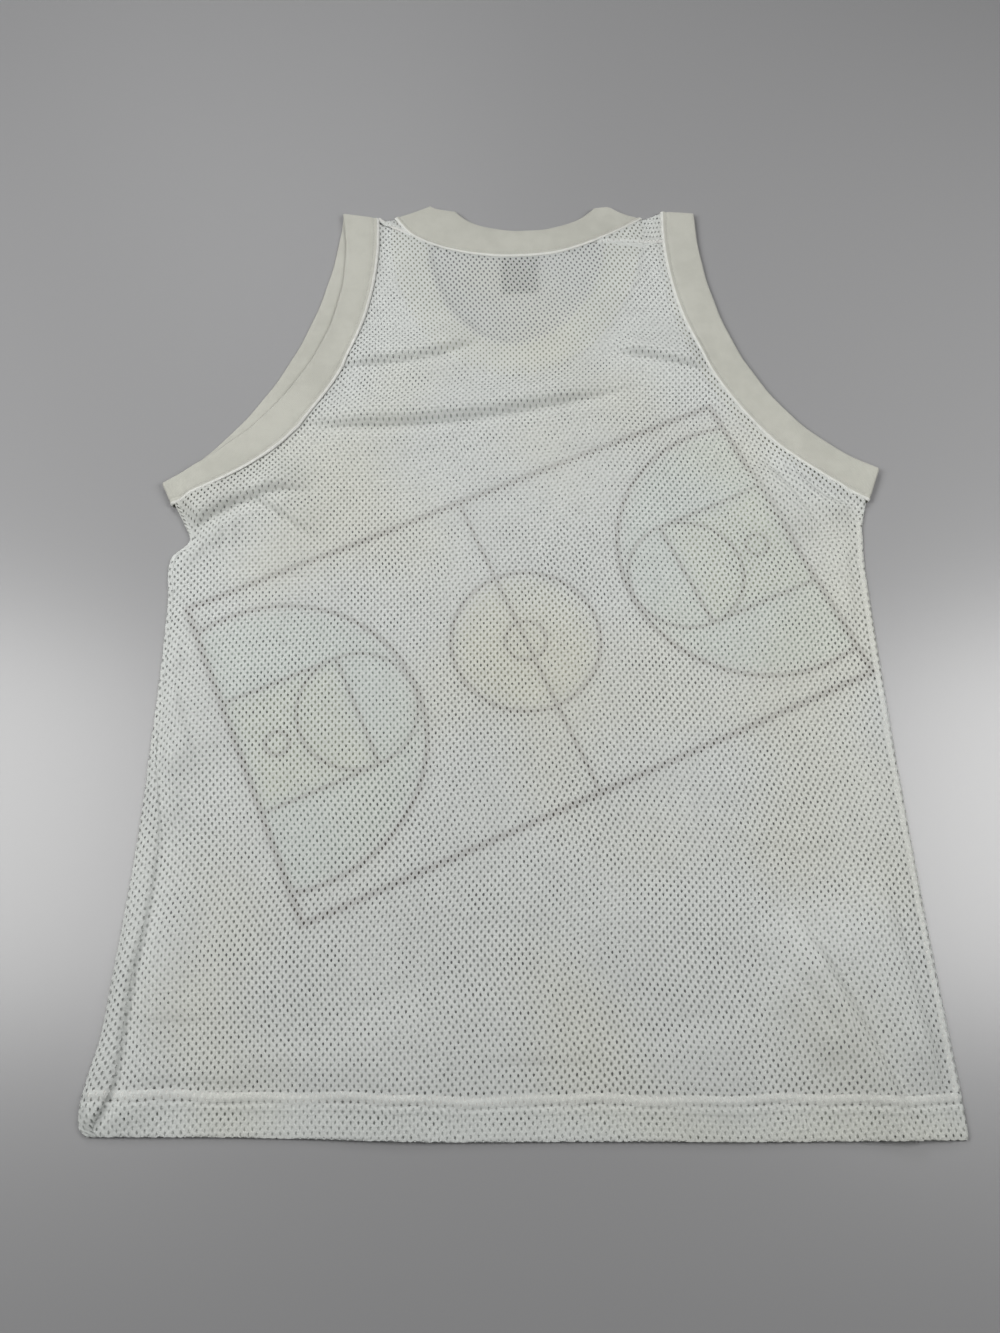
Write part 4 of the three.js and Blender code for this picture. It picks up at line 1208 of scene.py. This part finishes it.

# %% [markdown]
# ## Cream double knit
# The bands are a denser, creamier knit whose ribs run across them, all the way round the ring. Ribs that
# follow the place in the room would run straight through the curves, so they follow the unfolded band,
# its UV map, scaled back to millimetres. The ridge beside the seam is covered with white looper thread;
# its pale colour is partly the thread's and partly a painted highlight along the raised ridge.

# %% Material: double knit
def band_material(run):
    """Ribs across a band that is cut to this run."""
    made, tree = new_material("cream double knit")
    place = cloth_vector(tree)
    unfolded = node(tree, "ShaderNodeUVMap", uv_map="OFBake").outputs[0]
    on_band = scaled(tree, unfolded, run)
    tone = placed(tree, washed, {"Vector": place})
    grain = placed(tree, knit, {"Vector": on_band, "Wale": 1.15, "Course": 0.95})
    # the looper thread's stitches lie across the ridge
    from_seam = node(tree, "ShaderNodeSeparateXYZ", {0: on_band}).outputs
    on_ridge = soft_step(tree, from_seam["Y"], 2.4, 3.4, 1.0, 0.0)
    threads = maths(tree, "SINE", maths(tree, "MULTIPLY", from_seam["X"], 2 * math.pi / 1.3))
    colour = blended(tree, tone["Tone"], (0.49, 0.49, 0.452, 1), (0.53, 0.53, 0.49, 1))
    # the ridge's pale colour: white looper thread, and partly a painted highlight on the raised ridge
    colour = blended(tree, on_ridge, colour, (0.70, 0.705, 0.68, 1))
    # painted shade: the knit's hollows are painted a little darker
    shaded = blended(tree, grain["Shade"], (0.93, 0.93, 0.92, 1), (1, 1, 1, 1))
    colour = blended(tree, 1.0, colour, shaded, "MULTIPLY")
    raised = maths(tree, "MULTIPLY", maths(tree, "MULTIPLY", threads, on_ridge), 1.4)
    height = maths(tree, "ADD", grain["Height"], raised)
    bumped = node(tree, "ShaderNodeBump", {"Height": height, "Strength": 0.5, "Distance": 0.00025})
    surface = node(tree, "ShaderNodeBsdfPrincipled", {
        "Base Color": colour, "Roughness": 0.86, "Specular IOR Level": 0.25, "Sheen Weight": 0.25,
        "Sheen Roughness": 0.45, "Normal": bumped.outputs[0]})
    node(tree, "ShaderNodeOutputMaterial", {0: surface.outputs[0]})
    return made

# %% [markdown]
# ## Label and thread
# The label is a close weave of nearly black yarn, and the sewing thread is white and twisted. At their
# size a plain colour would nearly do, but the weave's small relief keeps the label from looking painted,
# and the thread's uneven white parts one stitch from the next.

# %% Materials: woven label and sewing thread
def label_material():
    made, tree = new_material("dark woven label")
    place = cloth_vector(tree)
    tone = placed(tree, washed, {"Vector": place})
    weave = placed(tree, knit, {"Vector": place, "Wale": 0.5, "Course": 0.35})
    colour = blended(tree, tone["Tone"], (0.022, 0.024, 0.028, 1), (0.035, 0.037, 0.042, 1))
    # painted highlight: the weave's raised yarns are painted a little lighter
    colour = blended(tree, weave["Shade"], colour, (0.05, 0.052, 0.06, 1))
    bumped = node(tree, "ShaderNodeBump", {"Height": weave["Height"], "Strength": 0.6, "Distance": 0.00015})
    surface = node(tree, "ShaderNodeBsdfPrincipled", {
        "Base Color": colour, "Roughness": 0.62, "Sheen Weight": 0.2, "Normal": bumped.outputs[0]})
    node(tree, "ShaderNodeOutputMaterial", {0: surface.outputs[0]})
    return made


def thread_material():
    made, tree = new_material("white sewing thread")
    place = cloth_vector(tree)
    twist = noise(tree, place, 3.0, 2.0)
    colour = blended(tree, twist, (0.54, 0.54, 0.52, 1), (0.64, 0.64, 0.62, 1))
    bumped = node(tree, "ShaderNodeBump", {"Height": twist, "Strength": 0.4, "Distance": 0.0001})
    surface = node(tree, "ShaderNodeBsdfPrincipled", {
        "Base Color": colour, "Roughness": 0.5, "Sheen Weight": 0.1, "Normal": bumped.outputs[0]})
    node(tree, "ShaderNodeOutputMaterial", {0: surface.outputs[0]})
    return made

# %% Each piece gets its material
# the back's faint print is painted show-through of the front's print that lies under it
back_mesh_with_painted_show_through = mesh_material("white eyelet mesh", 0.08)
printed_mesh = mesh_material("printed eyelet mesh", 0.6)
for (piece, _, _), material in zip(back_halves + front_halves, [back_mesh_with_painted_show_through] * 2 + [printed_mesh] * 2):
    piece.data.materials.append(material)
neck_label.data.materials.append(label_material())
thread = thread_material()
for piece in [hem_stitches, neck_stitches, overlocked, *arm_stitches.values()]:
    piece.data.materials.append(thread)
for piece, run, _ in [neck_band, *arm_bands.values()]:
    piece.data.materials.append(band_material(run))
print("materials:", sorted(made.name for made in bpy.data.materials))

# %% [markdown]
# ## What is cloth
# A real jersey is cut from flat cloth and then sewn, and cloth hardly stretches when it is laid down. So
# the panels and the bands work out the size that they were cut to, and a panel of mesh its area too,
# because its outline is far from a rectangle. A cloth solver could lay them down from there, but they
# already lie where they should.

# %% [markdown]
# ## Table, light and camera
# The table is pale and faintly glossy. Two soft lights stand over its sides, and it mirrors them as the
# pale patches beside the jersey. White cloth under soft light alone looks flat, so two windows light it
# aslant, from beyond the neck and from the left: they shade the folds, fall off towards the hem, and are
# kept out of the table's gloss. A Sun would do for the slant but doesn't fall off. A dim pale room fills
# the shadows, and a gamma under 1 makes the print a little firmer. The camera stands at the hem and looks
# down steeply.

# %% The table
TABLE_REACH = 2.2  # metres from the middle to its edge


def add_table():
    mesh = bpy.data.meshes.new("table")
    corners = [(across * TABLE_REACH, along * TABLE_REACH, 0)
               for across, along in ((-1, -1), (1, -1), (1, 1), (-1, 1))]
    mesh.from_pydata(corners, [], [(0, 1, 2, 3)])
    table = bpy.data.objects.new("table", mesh)
    bpy.context.scene.collection.objects.link(table)
    made, tree = new_material("pale table")
    surface = node(tree, "ShaderNodeBsdfPrincipled", {
        "Base Color": (0.35, 0.35, 0.355, 1), "Roughness": 0.31, "Specular IOR Level": 0.8})
    node(tree, "ShaderNodeOutputMaterial", {0: surface.outputs[0]})
    mesh.materials.append(made)


add_table()

# %% The lights and the room
def add_light(name, place, target, size, watts, colour=(1, 1, 1), mirrored=True):
    """A square light. One that isn't mirrored lights the cloth but doesn't show in the table's gloss."""
    data = bpy.data.lights.new(name, "AREA")
    data.shape, data.size, data.size_y = "RECTANGLE", size, size
    data.energy, data.color = watts, colour
    light = bpy.data.objects.new(name, data)
    light.location = place
    light.rotation_euler = (Vector(target) - Vector(place)).to_track_quat("-Z", "Y").to_euler()
    light.visible_glossy = mirrored
    bpy.context.scene.collection.objects.link(light)


for name, across, watts in (("soft light left", -0.85, 8.0), ("soft light right", 0.87, 9.8)):
    add_light(name, (across, 0.02, 0.9), (0, 0.1, 0), 0.7, watts, (1, 0.995, 0.985))
add_light("window beyond", (-0.42, 1.45, 1.12), (0, 0.05, 0), 0.8, 10.9, mirrored=False)
add_light("window left", (-2.2, -0.15, 1.75), (0, 0, 0), 1.2, 17.4, mirrored=False)
world = bpy.data.worlds.new("pale room")
world.use_nodes = True
room = world.node_tree.nodes["Background"].inputs
room["Color"].default_value = (0.97, 0.98, 1, 1)
room["Strength"].default_value = 0.115
bpy.context.scene.world = world
bpy.context.scene.view_settings.view_transform = "Standard"
bpy.context.scene.view_settings.gamma = 0.75
print("lights, W:", {light.name: round(light.energy, 1) for light in bpy.data.lights})

# %% Camera
CAMERA_AT, LOOKING_AT = Vector((-0.016, -0.3362, 0.7191)), Vector((-0.016, -0.063, 0))
lens = bpy.data.cameras.new("camera")
lens.lens, lens.sensor_width = 27.0, 36.0
camera = bpy.data.objects.new("camera", lens)
camera.location = CAMERA_AT
camera.rotation_euler = (LOOKING_AT - CAMERA_AT).to_track_quat("-Z", "Y").to_euler()
bpy.context.scene.collection.objects.link(camera)
bpy.context.scene.camera = camera
print("the camera is", round(1000 * (LOOKING_AT - CAMERA_AT).length), "mm from the middle of its view")
